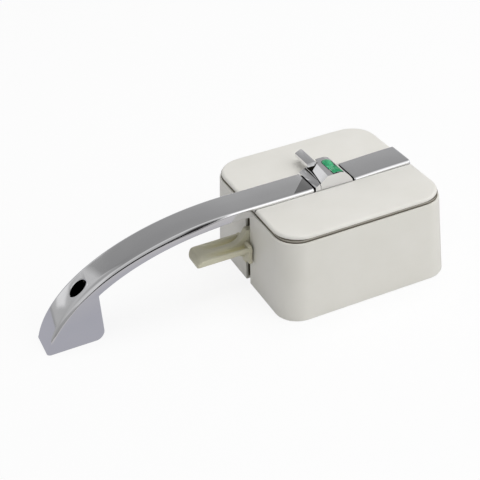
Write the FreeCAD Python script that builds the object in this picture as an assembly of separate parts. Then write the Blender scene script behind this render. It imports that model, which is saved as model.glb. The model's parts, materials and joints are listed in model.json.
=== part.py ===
import FreeCAD, Part
import math
import os

# Motorhome door lock. Millimetres, +Z away from the door.
# The origin is on the axis of the outside handle's spindle, in the face that is screwed to the door.

# Lock case, a drafted box with round corners
case_length = 105.0
case_width = 99.6
case_corner_radius = 13.7
case_height = 48.2
case_draft = 2.93
case_wall = 2.6
case_floor = 3.0

# Cover and the seal in the groove under it
seal_height = 2.15
seal_inset = 0.9
seal_width = 1.5
cover_thickness = 1.9
cover_inset = 0.35
cover_edge_radius = 1.7
cover_corner_radius = 15.5
skirt_depth = 5.0
skirt_wall = 1.6
skirt_gap = 0.3
clip_width = 9.0
clip_length = 13.0
clip_thickness = 1.6
clip_barb = 0.9
clip_barb_height = 2.4
clip_spread = 27.0

# Channel in the cover that holds the handle
channel_gap = 0.3
channel_wall = 1.6
channel_floor = 2.0

# Grab handle: a flat bar that bends down to its foot as a quarter of an ellipse
strip_width = 20.0
strip_proud = 2.25
arch_start = -59.7
arch_reach = 116.2
arch_centre_sink = 9.8
arch_inner_shrink = 7.6
foot_inner_x = -141.9
foot_inner_radius = 6.0
bevel_width = 1.1
bevel_height = 2.4
foot_screw_x = -150.2
foot_screw_bore = 9.4
foot_screw_hole = 5.2
foot_screw_seat = 6.0
handle_screw_places = (-41.0, -31.0)

# Trim strip on the other side of the indicator
trim_end_gap = 0.8
trim_screw_places = (20.0, 37.0)
trim_skin = 1.2
trim_end_radius = 1.0

# Indicator block
block_left = -12.1
block_right = 11.2
block_joint = 0.8
block_deck_drop = 1.5
ramp_right = -8.9
ramp_rise = 2.2
hood_ridge_x = -4.4
hood_rise = 5.5
hood_flat_end = 3.0
hood_shoulder_x = 6.2
hood_shoulder_drop = 1.0
hood_foot_drop = 1.4
hood_wall = 1.5
hood_gap = 0.1
lens_left = -0.1
lens_right = 5.8
lens_front = -9.1
lens_back = 6.5
lens_gap = 0.1
lens_proud = 0.35
block_screw_diameter = 2.0
block_screw_head = 3.2
block_screw_skin = 0.4
half_block_screw_pitch = 5.0

# Snib, the small lever on the block, and what it turns
snib_x = -4.8
snib_y = 8.0
snib_boss_radius = 2.85
snib_thickness = 2.0
snib_lift = 0.3
snib_arm_left = -2.8
snib_arm_right = 2.8
snib_reach_left = 15.8
snib_reach_right = 18.7
snib_turn = 90.0
notch_gap = 0.35
spindle_diameter = 4.0
running_gap = 0.05
bush_radius = 3.6
press_gap = 0.02
disc_radius = 20.8
disc_thickness = 1.0
disc_gap = 0.6
disc_hub_radius = 4.2
disc_hub_height = 2.6
flag_thickness = 0.2
flag_inner_radius = 5.0
crank_throw = 5.0
crank_start = 135.0
crank_hub_radius = 4.2
crank_thickness = 3.0
crank_pin_diameter = 2.6
crank_pin_gap = 0.4
crank_tip_wall = 1.2
crank_lift = 4.2
spindle_overhang = 1.2
spindle_clip_gap = 0.4
spindle_sink = 0.8
snib_tip_radius = 0.7

# Mechanism plates
chassis_thickness = 1.5
chassis_left = -47.0
chassis_right = 45.5
plate_margin = 5.0
half_chassis_screw_pitch = 25.0
top_plate_z = 32.0
post_diameter = 7.0
post_left = -21.5
post_right = 34.0
post_half_spacing = 31.0
screw_diameter = 3.0
screw_head_diameter = 5.6
screw_head_height = 1.8
screw_head_round = 0.6
screw_socket_depth = 1.0
screw_depth = 5.0
screw_tip_gap = 0.5
hole_gap = 0.2
fixing_hole = 4.6
fixing_half_length = 38.0
fixing_half_width = 40.5
chassis_corner = 8.0
chassis_screw_inset = 4.5
chassis_screw_bite = 2.0
chassis_screw_skin = 0.8
top_plate_corner = 5.0

# Release lever, its pin and its steel arm
hinge_x = -42.0
hinge_z = 32.0
lever_middle_y = -1.25
lever_pin_diameter = 4.0
slab_root_x = -52.4
slab_tip_x = -85.0
slab_half_width = 10.0
slab_bottom = 25.3
slab_top = 28.8
slab_front_radius = 1.5
slab_back_radius = 4.5
trough_radius = 5.6
trough_offset = 5.0
trough_depth = 1.9
trough_end = 4.0
trough_clearance = 0.2
rib_length = 14.0
flange_left = -54.7
flange_bottom = 16.5
flange_top = 29.7
web_thickness = 4.6
web_top = 37.5
web_bottom = 14.8
slot_width = 5.5
slot_top = 43.7
lever_hub_radius = 5.8
lever_hub_width = 8.5
arm_thickness = 3.0
arm_tip_x = -33.8
arm_tip_z = 8.7
arm_tip_radius = 2.0
ear_thickness = 1.5
ear_top = 37.5
ear_front = -47.0
ear_back = -27.0
ear_gap = 4.0
pin_overhang = 1.6
clip_ring_radius = 3.4
clip_ring_thickness = 0.6
clip_half_mouth = 1.2
floor_slot_gap = 2.5
bracket_foot = 7.4
foot_setback = 4.0
tie_bottom = 21.0
tie_top = 36.0
return_spring_radius = 4.6
return_spring_wire = 1.1

# Bolt carriage
carriage_travel = 8.7
carriage_bottom = 16.0
carriage_thickness = 1.5
carriage_front = 36.0
carriage_half_front = 11.0
carriage_half_back = 16.0
carriage_tail_half = 7.2
carriage_tail_end = -17.5
push_gap = 0.3
push_tab_bottom = 5.2
push_tab_half = 4.0
arm_window_length = 9.6
arm_window_half = 3.6
wall_start = 10.0
wall_height = 10.5
spring_tab_x = 4.0
spring_tab_front = -6.0
spring_tab_back = 2.0
spring_tab_top = 30.0
return_tab_x = -9.0
return_tab_bottom = 6.0
return_tab_y = 20.0
return_tab_half = 3.8
return_wing_length = 8.0
anchor_x = -30.0
return_spring_z = 11.0
coil_radius = 3.0
coil_wire = 0.8

# Latch bolt
bolt_half_width = 8.0
bolt_bottom = 19.8
bolt_top = 31.3
bolt_rear = 21.0
bolt_reach = 62.0
bolt_bevel = 9.5
bolt_tip_flat = 4.0
bolt_travel = 9.0
bolt_gap = 0.3
bolt_wall_gap = 0.4
bolt_spring_y = -2.0
bolt_spring_z = 25.5
bolt_spring_radius = 3.3
bolt_spring_bore = 4.0
bolt_spring_pocket = 8.0
stop_pin_diameter = 3.0
stop_slot_start = 24.0
stop_slot_depth = 2.1

# Bolt guide and the plate on the outside of the wall
guide_left = 39.8
guide_right = 47.6
guide_half_width = 13.0
guide_top = 34.6
guide_foot = 6.4
guide_foot_height = 3.0
plate_thickness = 1.5
plate_inlay = 0.6
plate_half_width = 15.0
plate_low = 12.0
plate_high = 39.0
wall_screw_radius = 1.2
wall_screw_head = 2.2
wall_screw_depth = 3.2
wall_screw_slot = 0.6
wall_screw_inset_y = 3.4
wall_screw_inset_z = 4.5
plate_corner = 2.5

# Follower for the outside handle
square_size = 8.0
follower_hub_radius = 8.0
follower_low_radius = 6.5
follower_top_radius = 6.0
follower_bottom = 0.6
follower_shoulder = 4.7
follower_hub_top = 13.1
follower_top = 14.6
follower_room = 1.0
finger_reach = 17.0
finger_half_width = 2.0
finger_bottom = 8.5
finger_top = 12.4
bridge_bottom = 13.3
bridge_half_width = 8.6
bridge_front = -9.0
bridge_corner = 4.0
bridge_leg_half = 6.0
bridge_leg_y = 14.5
bridge_foot_end = 27.0

# Clutch bar between the follower's finger and the carriage
bar_gap = 0.3
bar_thickness = 1.5
bar_wall = 1.6
bar_back = 15.5
nose_front = -16.6
nose_back = -12.8
nose_width = 2.5
nose_bottom = 8.3
lip_width = 1.3
lip_height = 3.2
lip_back = 4.0
lip_hook = 1.6
neck_wall = 1.5
neck_overlap = 2.0

draft_slope = math.tan(math.radians(case_draft))
chassis_top = case_floor + chassis_thickness
cover_bottom = case_height + seal_height
cover_top = cover_bottom + cover_thickness
rim_inset = case_height * draft_slope
strip_top = cover_top + strip_proud
handle_thickness = strip_top - case_height
arch_drop = strip_top + arch_centre_sink
block_deck = strip_top - block_deck_drop
ramp_top = strip_top + ramp_rise
hood_top = strip_top + hood_rise
hood_shoulder_z = hood_top - hood_shoulder_drop
hood_foot_z = strip_top - hood_foot_drop
chassis_half_width = post_half_spacing + plate_margin
top_plate_left = post_left - plate_margin
top_plate_right = post_right + plate_margin
channel_top = case_height
channel_bottom = channel_top - channel_floor
disc_top = channel_bottom - disc_gap
disc_bottom = disc_top - disc_thickness
carriage_top = carriage_bottom + carriage_thickness
bar_bottom = carriage_top + bar_gap
bar_top = bar_bottom + bar_thickness
crank_bottom = bolt_bottom + crank_lift
crank_top = crank_bottom + crank_thickness
snib_bottom = ramp_top + snib_lift
snib_top = snib_bottom + snib_thickness
push_tab_right = arm_tip_x - arm_tip_radius - push_gap
push_tab_left = push_tab_right - carriage_thickness
web_front = lever_middle_y - web_thickness / 2
web_back = lever_middle_y + web_thickness / 2
hub_front = lever_middle_y - lever_hub_width / 2
hub_back = lever_middle_y + lever_hub_width / 2
ear_front_y = hub_front - ear_gap
ear_back_y = hub_back + ear_gap


def box(x0, x1, y0, y1, z0, z1):
    return Part.makeBox(x1 - x0, y1 - y0, z1 - z0, FreeCAD.Vector(x0, y0, z0))


def post(x, y, z0, z1, radius):
    return Part.makeCylinder(radius, z1 - z0, FreeCAD.Vector(x, y, z0), FreeCAD.Vector(0, 0, 1))


def rod_y(x, z, y0, y1, radius):
    return Part.makeCylinder(radius, y1 - y0, FreeCAD.Vector(x, y0, z), FreeCAD.Vector(0, 1, 0))


def rod_x(y, z, x0, x1, radius):
    return Part.makeCylinder(radius, x1 - x0, FreeCAD.Vector(x0, y, z), FreeCAD.Vector(1, 0, 0))


def upright_edges(shape):
    return [edge for edge in shape.Edges if edge.BoundBox.ZLength > chassis_thickness / 2]


def hinge_bore(radius):
    """A rod along the lever's hinge, long enough to cut through whatever hangs on it."""
    return rod_y(hinge_x, hinge_z, -case_width / 3, case_width / 3, radius)


def joined(shapes):
    """One solid out of shapes that meet."""
    whole = shapes[0].fuse(list(shapes[1:])) if len(shapes) > 1 else shapes[0]
    return whole.removeSplitter()


def side_plate(points, y0, y1):
    """A plate whose outline is given in X and Z, and its thickness along Y."""
    corners = [FreeCAD.Vector(x, y0, z) for x, z in points]
    face = Part.Face(Part.makePolygon(corners + corners[:1]))
    return face.extrude(FreeCAD.Vector(0, y1 - y0, 0))


def flat_plate(points, z0, z1):
    """A plate whose outline is given in X and Y, and its thickness along Z."""
    corners = [FreeCAD.Vector(x, y, z0) for x, y in points]
    face = Part.Face(Part.makePolygon(corners + corners[:1]))
    return face.extrude(FreeCAD.Vector(0, 0, z1 - z0))


def rounded_wire(length, width, radius, z):
    """A rectangle with round corners, centred on the Z axis."""
    x = length / 2
    y = width / 2
    k = radius * (1 - math.sqrt(0.5))
    corners = ((x, y, 0), (-x, y, 1), (-x, -y, 2), (x, -y, 3))
    edges = []
    ends = []
    for cx, cy, quarter in corners:
        sx = math.copysign(1, cx)
        sy = math.copysign(1, cy)
        on_y = FreeCAD.Vector(cx, cy - sy * radius, z)
        middle = FreeCAD.Vector(cx - sx * k, cy - sy * k, z)
        on_x = FreeCAD.Vector(cx - sx * radius, cy, z)
        first, last = (on_y, on_x) if quarter % 2 == 0 else (on_x, on_y)
        ends.append((first, middle, last))
    for index, (first, middle, last) in enumerate(ends):
        edges.append(Part.Arc(first, middle, last).toShape())
        edges.append(Part.makeLine(last, ends[(index + 1) % 4][0]))
    return Part.Wire(edges)


def tapered_block(inset, radius, z0, z1):
    """The inside of the case's outline, drawn in by inset, between two heights."""
    wires = []
    for z in (z0, z1):
        draw_in = inset + z * draft_slope
        wires.append(rounded_wire(case_length - 2 * draw_in, case_width - 2 * draw_in, radius, z))
    return Part.makeLoft(wires, True, True)


def straight_block(inset, radius, z0, z1):
    """A block with upright sides, drawn in by inset from the case's rim."""
    draw_in = rim_inset + inset
    wire = rounded_wire(case_length - 2 * draw_in, case_width - 2 * draw_in, radius, z0)
    return Part.Face(wire).extrude(FreeCAD.Vector(0, 0, z1 - z0))


def pan_screw(x, y, seat_z, direction, depth, diameter=screw_diameter, head=screw_head_diameter):
    """A screw whose head stands on seat_z; direction is +1 where it is driven upwards."""
    axis = FreeCAD.Vector(0, 0, direction)
    start = FreeCAD.Vector(x, y, seat_z)
    shank = Part.makeCylinder(diameter / 2, depth, start, axis)
    cap = Part.makeCylinder(head / 2, screw_head_height, start, axis * -1)
    far_z = seat_z - direction * screw_head_height
    rim = [edge for edge in cap.Edges if isinstance(edge.Curve, Part.Circle)
           and abs(edge.CenterOfMass.z - far_z) < 0.01]
    cap = cap.makeFillet(screw_head_round, rim)
    socket = Part.makeCylinder(head / 5, screw_socket_depth, start - axis * screw_head_height, axis)
    return cap.fuse(shank).removeSplitter().cut(socket)


def group(shapes):
    return Part.makeCompound(list(shapes))


def clip_places():
    """Where the cover's four legs stand: the side they are on, and the place along it."""
    return [(side, along) for side in (-1, 1) for along in (-clip_spread, clip_spread)]


def clip_leg(side, along, grow):
    """One leg of the cover with its barb, or the pocket for the barb if grow is not zero."""
    outer = case_width / 2 - rim_inset - case_wall - skirt_gap
    low = case_height - clip_length
    parts = []
    if grow == 0:
        inner = outer - clip_thickness
        half = clip_width / 2
        parts.append(box(along - half, along + half, inner, outer, low, cover_bottom))
    barb = [(outer - 0.2, low - grow), (outer + clip_barb + grow, low + clip_barb_height - grow)]
    barb += [(outer + clip_barb + grow, low + clip_barb_height + grow)]
    barb += [(outer - 0.2, low + clip_barb_height + grow)]
    corners = [FreeCAD.Vector(along - clip_width / 2 - grow, y, z) for y, z in barb]
    face = Part.Face(Part.makePolygon(corners + corners[:1]))
    parts.append(face.extrude(FreeCAD.Vector(clip_width + 2 * grow, 0, 0)))
    leg = joined(parts)
    if side < 0:
        leg = leg.mirror(FreeCAD.Vector(0, 0, 0), FreeCAD.Vector(0, 1, 0))
    return leg


def wall_plate(thickness, sink, grow):
    """The plate round the bolt, lying along the drafted wall and let into it by sink."""
    plate = box(-sink, thickness - sink, -plate_half_width - grow, plate_half_width + grow,
                plate_low - grow, plate_high + grow)
    through = [edge for edge in plate.Edges if edge.BoundBox.XLength > 0.9 * thickness
               and edge.BoundBox.YLength < 0.01]
    plate = plate.makeFillet(plate_corner, through)
    plate.rotate(FreeCAD.Vector(0, 0, 0), FreeCAD.Vector(0, 1, 0), -case_draft)
    plate.translate(FreeCAD.Vector(case_length / 2, 0, 0))
    return plate


def bolt_window(x0, x1, gap):
    return box(x0, x1, -bolt_half_width - gap, bolt_half_width + gap, bolt_bottom - gap, bolt_top + gap)


def fixing_places():
    return [(x, y) for x in (-fixing_half_length, fixing_half_length)
            for y in (-fixing_half_width, fixing_half_width)]


def chassis_screw_places():
    return [(x, y) for x in (chassis_left + chassis_screw_inset, chassis_right - chassis_screw_inset)
            for y in (-half_chassis_screw_pitch, half_chassis_screw_pitch)]


def inner_screw_places():
    """Where bracket, bridge and bolt guide are screwed to the chassis, and how thick each is there."""
    places = [(x, y, ear_thickness) for x, y in bracket_screw_places()]
    places.append((0.0, bridge_screw_y(), chassis_thickness))
    middle = (guide_left + guide_right) / 2
    out = guide_half_width + guide_foot / 2
    places += [(middle, side * out, guide_foot_height) for side in (-1, 1)]
    return places


def post_places():
    return [(x, y) for x in (post_left, post_right) for y in (-post_half_spacing, post_half_spacing)]


def make_base_shell():
    outside = tapered_block(0, case_corner_radius, 0, case_height)
    inside = tapered_block(case_wall, case_corner_radius - case_wall, case_floor, case_height + 1)
    shell = outside.cut(inside)
    slot_front = lever_middle_y - slot_width / 2
    slot_back = lever_middle_y + slot_width / 2
    cuts = [box(-case_length, chassis_left - floor_slot_gap, slot_front, slot_back, -1, case_floor)]
    cuts.append(box(-case_length, ear_front, slot_front, slot_back, case_floor, slot_top))
    cuts.append(bolt_window(guide_left, case_length, bolt_wall_gap))
    cuts.append(wall_plate(plate_thickness + case_wall, plate_inlay, 0.1))
    cuts.append(post(0, 0, -1, case_floor + 1, follower_low_radius + follower_room))
    cuts += [post(x, y, -1, case_floor + 1, fixing_hole / 2) for x, y in fixing_places()]
    for x, y in chassis_screw_places():
        cuts.append(post(x, y, chassis_screw_skin, case_floor + 1, screw_diameter / 2))
    cuts += [clip_leg(side, along, skirt_gap) for side, along in clip_places()]
    cuts += [plate_screw(y, z, wall_screw_radius, 0) for y, z in plate_screw_places()]
    return shell.cut(cuts)


def make_skirt():
    """The ring under the cover that goes down inside the case."""
    outer_inset = case_wall + skirt_gap
    inner_inset = outer_inset + skirt_wall
    low = case_height - skirt_depth
    outside = straight_block(outer_inset, case_corner_radius - outer_inset, low, cover_bottom)
    inside = straight_block(inner_inset, case_corner_radius - inner_inset, low - 1, cover_bottom)
    return outside.cut(inside)


def cover_holes():
    """What goes through the cover: lens, the snib's bush, and the screws of handle, trim and block."""
    room = lens_gap + hole_gap
    low = channel_bottom - 1
    holes = [box(lens_left - room, lens_right + room, lens_front - room, lens_back + room,
                 low, cover_top)]
    holes.append(post(snib_x, snib_y, low, cover_top, bush_radius + press_gap))
    for x in handle_screw_places + trim_screw_places:
        holes.append(post(x, 0, low, cover_top, screw_diameter / 2 + hole_gap))
    for x, y in block_screw_places():
        holes.append(post(x, y, channel_bottom + block_screw_skin, cover_top, block_screw_diameter / 2))
    return holes


def make_top_cover():
    plate = straight_block(cover_inset, cover_corner_radius, cover_bottom, cover_top)
    top_edges = [edge for edge in plate.Edges if edge.BoundBox.ZMin > cover_top - 0.01]
    plate = plate.makeFillet(cover_edge_radius, top_edges)
    half = strip_width / 2 + channel_gap
    outer = half + channel_wall
    right = case_length / 2 - rim_inset - case_wall - skirt_gap
    left = -right
    middle = block_right + block_joint
    channel = box(left, middle + channel_wall, -outer, outer, channel_bottom, cover_bottom)
    trim_floor = box(middle, right, -outer, outer, cover_bottom - channel_floor, cover_bottom)
    legs = [clip_leg(side, along, 0) for side, along in clip_places()]
    cover = joined([plate, make_skirt(), channel, trim_floor] + legs)
    cuts = [box(-case_length, middle, -half, half, channel_top, cover_top + 1)]
    cuts.append(box(middle - 0.01, case_length, -half, half, cover_bottom, cover_top + 1))
    cuts.append(box(-case_length, left, -half, half, 0, cover_top + 1))
    return cover.cut(cuts + cover_holes())


def make_cover_seal():
    outside = straight_block(seal_inset, case_corner_radius - seal_inset, case_height, cover_bottom)
    inside = straight_block(seal_inset + seal_width, case_corner_radius - seal_inset - seal_width,
                            case_height - 1, cover_bottom + 1)
    half = strip_width / 2 + channel_gap
    return outside.cut([inside, box(-case_length, 0, -half, half, 0, cover_top)])


def arch_points(shrink_x, shrink_z, x_end, count):
    """Points on the quarter ellipse, evenly spaced in angle, from the crown to x_end."""
    reach = arch_reach - shrink_x
    drop = arch_drop - shrink_z
    last = math.asin((arch_start - x_end) / reach)
    points = []
    for step in range(count):
        angle = last * step / (count - 1)
        x = arch_start - reach * math.sin(angle)
        z = strip_top - arch_drop + drop * math.cos(angle)
        points.append(FreeCAD.Vector(x, 0, z))
    return points


def arch_edge(points):
    curve = Part.BSplineCurve()
    curve.interpolate(points)
    return curve.toShape()


def bar_profile(right):
    """The handle's outline in X and Z: strip over the cover, arch and foot."""
    foot_x = arch_start - arch_reach * math.sqrt(1 - (1 - strip_top / arch_drop) ** 2)
    outer = arch_points(0, 0, foot_x + 0.0001, 15)
    inner = arch_points(arch_inner_shrink, handle_thickness, foot_inner_x, 11)
    bottom_z = strip_top - handle_thickness
    top_right = FreeCAD.Vector(right, 0, strip_top)
    bottom_right = FreeCAD.Vector(right, 0, bottom_z)
    outer[-1] = FreeCAD.Vector(outer[-1].x, 0, 0)
    round_low = FreeCAD.Vector(foot_inner_x - foot_inner_radius, 0, 0)
    round_high = FreeCAD.Vector(foot_inner_x, 0, foot_inner_radius)
    share = foot_inner_radius * math.sqrt(0.5)
    round_middle = FreeCAD.Vector(foot_inner_x - foot_inner_radius + share, 0, foot_inner_radius - share)
    edges = [Part.makeLine(bottom_right, top_right)]
    edges.append(Part.makeLine(top_right, outer[0]))
    edges.append(arch_edge(outer))
    edges.append(Part.makeLine(outer[-1], round_low))
    edges.append(Part.Arc(round_low, round_middle, round_high).toShape())
    edges.append(Part.makeLine(round_high, inner[-1]))
    edges.append(arch_edge(inner))
    edges.append(Part.makeLine(inner[0], bottom_right))
    return Part.Wire(edges)


def strip_bevels(bar):
    """The bar with its long top edges bevelled."""
    half = strip_width / 2
    lines = []
    for edge in bar.Edges:
        bound = edge.BoundBox
        on_side = abs(abs(bound.YMin) - half) < 0.01 and bound.YLength < 0.01
        middle = edge.valueAt((edge.FirstParameter + edge.LastParameter) / 2)
        on_top = bound.ZMax > strip_top - 0.01 and middle.z > strip_top / 4 and bound.XLength > 5
        if on_side and on_top:
            lines.append(edge)
    return bar.makeChamfer(bevel_width, lines)


def make_grab_handle():
    right = block_left - block_joint
    face = Part.Face(bar_profile(right))
    bar = face.extrude(FreeCAD.Vector(0, strip_width, 0))
    bar.translate(FreeCAD.Vector(0, -strip_width / 2, 0))
    bar = strip_bevels(bar)
    cuts = [post(foot_screw_x, 0, foot_screw_seat, strip_top, foot_screw_bore / 2)]
    cuts.append(post(foot_screw_x, 0, -1, strip_top, foot_screw_hole / 2))
    for x in handle_screw_places:
        cuts.append(post(x, 0, channel_top - 1, channel_top + screw_depth, screw_diameter / 2))
    return bar.cut(cuts)


def make_trim_strip():
    left = block_right + block_joint
    right = case_length / 2 - rim_inset - cover_inset - trim_end_gap
    half = strip_width / 2
    points = [(-half, cover_bottom), (half, cover_bottom), (half, strip_top - bevel_height)]
    points += [(half - bevel_width, strip_top), (bevel_width - half, strip_top)]
    points += [(-half, strip_top - bevel_height)]
    corners = [FreeCAD.Vector(left, y, z) for y, z in points]
    end = Part.Face(Part.makePolygon(corners + corners[:1]))
    strip = end.extrude(FreeCAD.Vector(right - left, 0, 0))
    ends = [edge for edge in strip.Edges if edge.BoundBox.XMin > right - 0.01
            and edge.BoundBox.ZMin > strip_top - 0.01]
    strip = strip.makeFillet(trim_end_radius, ends)
    high = strip_top - trim_skin
    return strip.cut([post(x, 0, cover_bottom - 1, high, screw_diameter / 2) for x in trim_screw_places])


def block_screw_places():
    right = (lens_right + lens_gap + block_right - hood_wall) / 2
    left = (ramp_right + hood_wall + lens_left) / 2
    return [(left, -half_block_screw_pitch), (right, 0.0)]


def hood_profile(sink):
    """The hood's outline in X and Z, drawn in by sink for its hollow."""
    left = ramp_right + hood_gap + sink
    right = block_right - sink
    top = hood_top - sink
    points = [(left, block_deck - (1 if sink else 0)), (left, ramp_top - 0.4 + sink * 0.2)]
    points += [(hood_ridge_x + sink * 0.7, top), (hood_flat_end - sink * 0.2, top)]
    points += [(hood_shoulder_x - sink * 0.6, hood_shoulder_z - sink)]
    points += [(right - 1.6, (hood_shoulder_z + hood_foot_z) / 2 + 0.3), (right, hood_foot_z)]
    points += [(right, block_deck - (1 if sink else 0))]
    return points


def lens_prism(bottom, top, grow):
    """The clear window, with a round back end."""
    half = (lens_right - lens_left) / 2 + grow
    middle = (lens_left + lens_right) / 2
    back = lens_back - (lens_right - lens_left) / 2
    body = box(middle - half, middle + half, lens_front - grow, back, bottom, top)
    return joined([body, post(middle, back, bottom, top, half)])


def snib_notch(gap):
    """The room round the snib's boss and arm on the block, over its swing."""
    radius = snib_boss_radius + gap
    far = snib_y + snib_reach_right + gap
    swing = box(-case_length, snib_x, snib_y - radius, far, ramp_top, hood_top + 1)
    arm = box(snib_x - 0.01, snib_x + snib_arm_right + gap, snib_y, far, ramp_top, hood_top + 1)
    return joined([post(snib_x, snib_y, ramp_top, hood_top + 1, radius), swing, arm])


def snib_island(gap):
    """The block under the snib that carries the spindle, or the room for it in the hood."""
    front = snib_y - snib_boss_radius - 0.2
    return box(ramp_right - gap, snib_x + snib_boss_radius + gap, front - gap, strip_width / 2 + gap,
               block_deck - gap, ramp_top + gap)


def make_indicator_base():
    half = strip_width / 2
    ramp = [(block_left, channel_top), (block_right, channel_top), (block_right, block_deck)]
    ramp += [(ramp_right, block_deck), (ramp_right, ramp_top), (block_left, strip_top)]
    base = side_plate(ramp, -half, half)
    base = joined([base, snib_island(0)])
    cuts = [lens_prism(channel_top - 1, block_deck + 1, lens_gap)]
    cuts.append(post(snib_x, snib_y, channel_top - 1, ramp_top + 1, spindle_diameter / 2 + running_gap))
    cuts.append(post(snib_x, snib_y, channel_top - 1, block_deck - 1.5, bush_radius + press_gap))
    hole = block_screw_diameter / 2 + 0.1
    cuts += [post(x, y, channel_top - 1, block_deck + 1, hole) for x, y in block_screw_places()]
    cuts += [post(x, y, block_deck - screw_head_height, block_deck + 1, block_screw_head / 2 + 0.1)
             for x, y in block_screw_places()]
    return base.cut(cuts)


def make_indicator_hood():
    half = strip_width / 2
    outside = side_plate(hood_profile(0), -half, half)
    hollow = side_plate(hood_profile(hood_wall), -half + hood_wall, half - hood_wall)
    window = lens_prism(block_deck, hood_top + 1, lens_gap)
    return outside.cut([hollow, window, snib_notch(notch_gap), snib_island(hood_gap)])


def make_indicator_lens():
    low = lens_prism(disc_top + flag_thickness + 0.3, hood_top + lens_proud, 0)
    slope = (hood_top - hood_shoulder_z) / (hood_shoulder_x - hood_flat_end)
    fall = slope * (lens_right - hood_flat_end)
    top = [(lens_left, hood_top + lens_proud), (hood_flat_end, hood_top + lens_proud)]
    top += [(lens_right, hood_top + lens_proud - fall)]
    top += [(lens_right, hood_top + 2), (lens_left, hood_top + 2)]
    return low.cut(side_plate(top, -strip_width, strip_width))


def make_snib_lever():
    boss = post(snib_x, snib_y, snib_bottom, snib_top, snib_boss_radius)
    left = snib_x + snib_arm_left
    right = snib_x + snib_arm_right
    outline = [(left, snib_y), (right, snib_y)]
    outline += [(right, snib_y + snib_reach_right), (left, snib_y + snib_reach_left)]
    arm = flat_plate(outline, snib_bottom, snib_top)
    tip = [edge for edge in arm.Edges if edge.BoundBox.ZLength > 1 and edge.BoundBox.YMin > snib_y + 5]
    arm = arm.makeFillet(snib_tip_radius, tip)
    lever = joined([boss, arm])
    return lever.cut(post(snib_x, snib_y, 0, snib_top - spindle_sink, spindle_diameter / 2))


def make_snib_spindle():
    low = crank_bottom - spindle_overhang
    return post(snib_x, snib_y, low, snib_top - spindle_sink, spindle_diameter / 2)


def make_snib_bush():
    ring = post(snib_x, snib_y, channel_bottom, block_deck - 1.5, bush_radius)
    return ring.cut(post(snib_x, snib_y, 0, hood_top, spindle_diameter / 2 + running_gap))


def make_friction_washer():
    ring = post(snib_x, snib_y, disc_top + 0.03, channel_bottom - 0.03, bush_radius)
    return ring.cut(post(snib_x, snib_y, 0, hood_top, spindle_diameter / 2 + running_gap))


def sector(radius, start, end, z0, z1):
    """A slice of a disc round the snib's spindle, between two angles in degrees."""
    centre = FreeCAD.Vector(snib_x, snib_y, z0)

    def rim(angle):
        turn = math.radians(angle)
        return centre + FreeCAD.Vector(radius * math.cos(turn), radius * math.sin(turn), 0)

    arc = Part.Arc(rim(start), rim((start + end) / 2), rim(end)).toShape()
    wire = Part.Wire([Part.makeLine(centre, rim(start)), arc, Part.makeLine(rim(end), centre)])
    return Part.Face(wire).extrude(FreeCAD.Vector(0, 0, z1 - z0))


def sector_angles():
    """Where the lens looks on the disc, and a quarter turn before it."""
    corner = math.degrees(math.atan2(lens_front - snib_y, lens_left - snib_x))
    first = corner - 2
    last = first + snib_turn - 8
    return first, last


def make_indicator_disc():
    first, last = sector_angles()
    plate = sector(disc_radius, first - snib_turn, last, disc_bottom, disc_top)
    hub = post(snib_x, snib_y, disc_bottom - disc_hub_height, disc_top, disc_hub_radius)
    disc = joined([plate, hub])
    return disc.cut(post(snib_x, snib_y, 0, hood_top, spindle_diameter / 2))


def make_flag(shift):
    first, last = sector_angles()
    area = sector(disc_radius, first + shift, last + shift, disc_top, disc_top + flag_thickness)
    return area.cut(post(snib_x, snib_y, 0, hood_top, flag_inner_radius))


def crank_pin_place():
    turn = math.radians(crank_start)
    return snib_x + crank_throw * math.cos(turn), snib_y + crank_throw * math.sin(turn)


def make_snib_crank():
    x, y = crank_pin_place()
    hub = post(snib_x, snib_y, crank_bottom, crank_top, crank_hub_radius)
    tip = post(x, y, crank_bottom, crank_top, crank_pin_diameter / 2 + crank_tip_wall)
    pin = post(x, y, bar_bottom + 0.1, crank_top, crank_pin_diameter / 2)
    crank = joined([hub, tip, pin])
    return crank.cut(post(snib_x, snib_y, 0, hood_top, spindle_diameter / 2))


def make_spindle_clip():
    top = crank_bottom - spindle_clip_gap
    ring = post(snib_x, snib_y, top - clip_ring_thickness, top, clip_ring_radius)
    gap = box(snib_x, snib_x + 2 * clip_ring_radius, snib_y - clip_half_mouth, snib_y + clip_half_mouth,
              top - 2 * clip_ring_thickness, crank_bottom)
    return ring.cut([post(snib_x, snib_y, 0, hood_top, spindle_diameter / 2), gap])


def make_chassis_plate():
    plate = box(chassis_left, chassis_right, -chassis_half_width, chassis_half_width,
                case_floor, chassis_top)
    plate = plate.makeFillet(chassis_corner, upright_edges(plate))
    anchor = box(anchor_x, anchor_x + chassis_thickness, return_tab_y - return_tab_half,
                 return_tab_y + return_tab_half, case_floor, carriage_bottom - 0.5)
    plate = joined([plate, anchor])
    cuts = [post(0, 0, 0, chassis_top + 1, follower_low_radius + running_gap)]
    hole = screw_diameter / 2 + hole_gap
    cuts += [post(x, y, 0, chassis_top + 1, hole) for x, y in chassis_screw_places()]
    cuts += [post(x, y, 0, chassis_top + 1, screw_diameter / 2) for x, y, _ in inner_screw_places()]
    return plate.cut(cuts)


def make_top_plate():
    plate = box(top_plate_left, top_plate_right, -chassis_half_width, chassis_half_width,
                top_plate_z, top_plate_z + chassis_thickness)
    plate = plate.makeFillet(top_plate_corner, upright_edges(plate))
    cuts = [post(snib_x, snib_y, 0, hood_top, spindle_diameter / 2 + running_gap)]
    cuts += [post(x, y, 0, hood_top, screw_diameter / 2 + hole_gap) for x, y in post_places()]
    return plate.cut(cuts)


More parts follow.
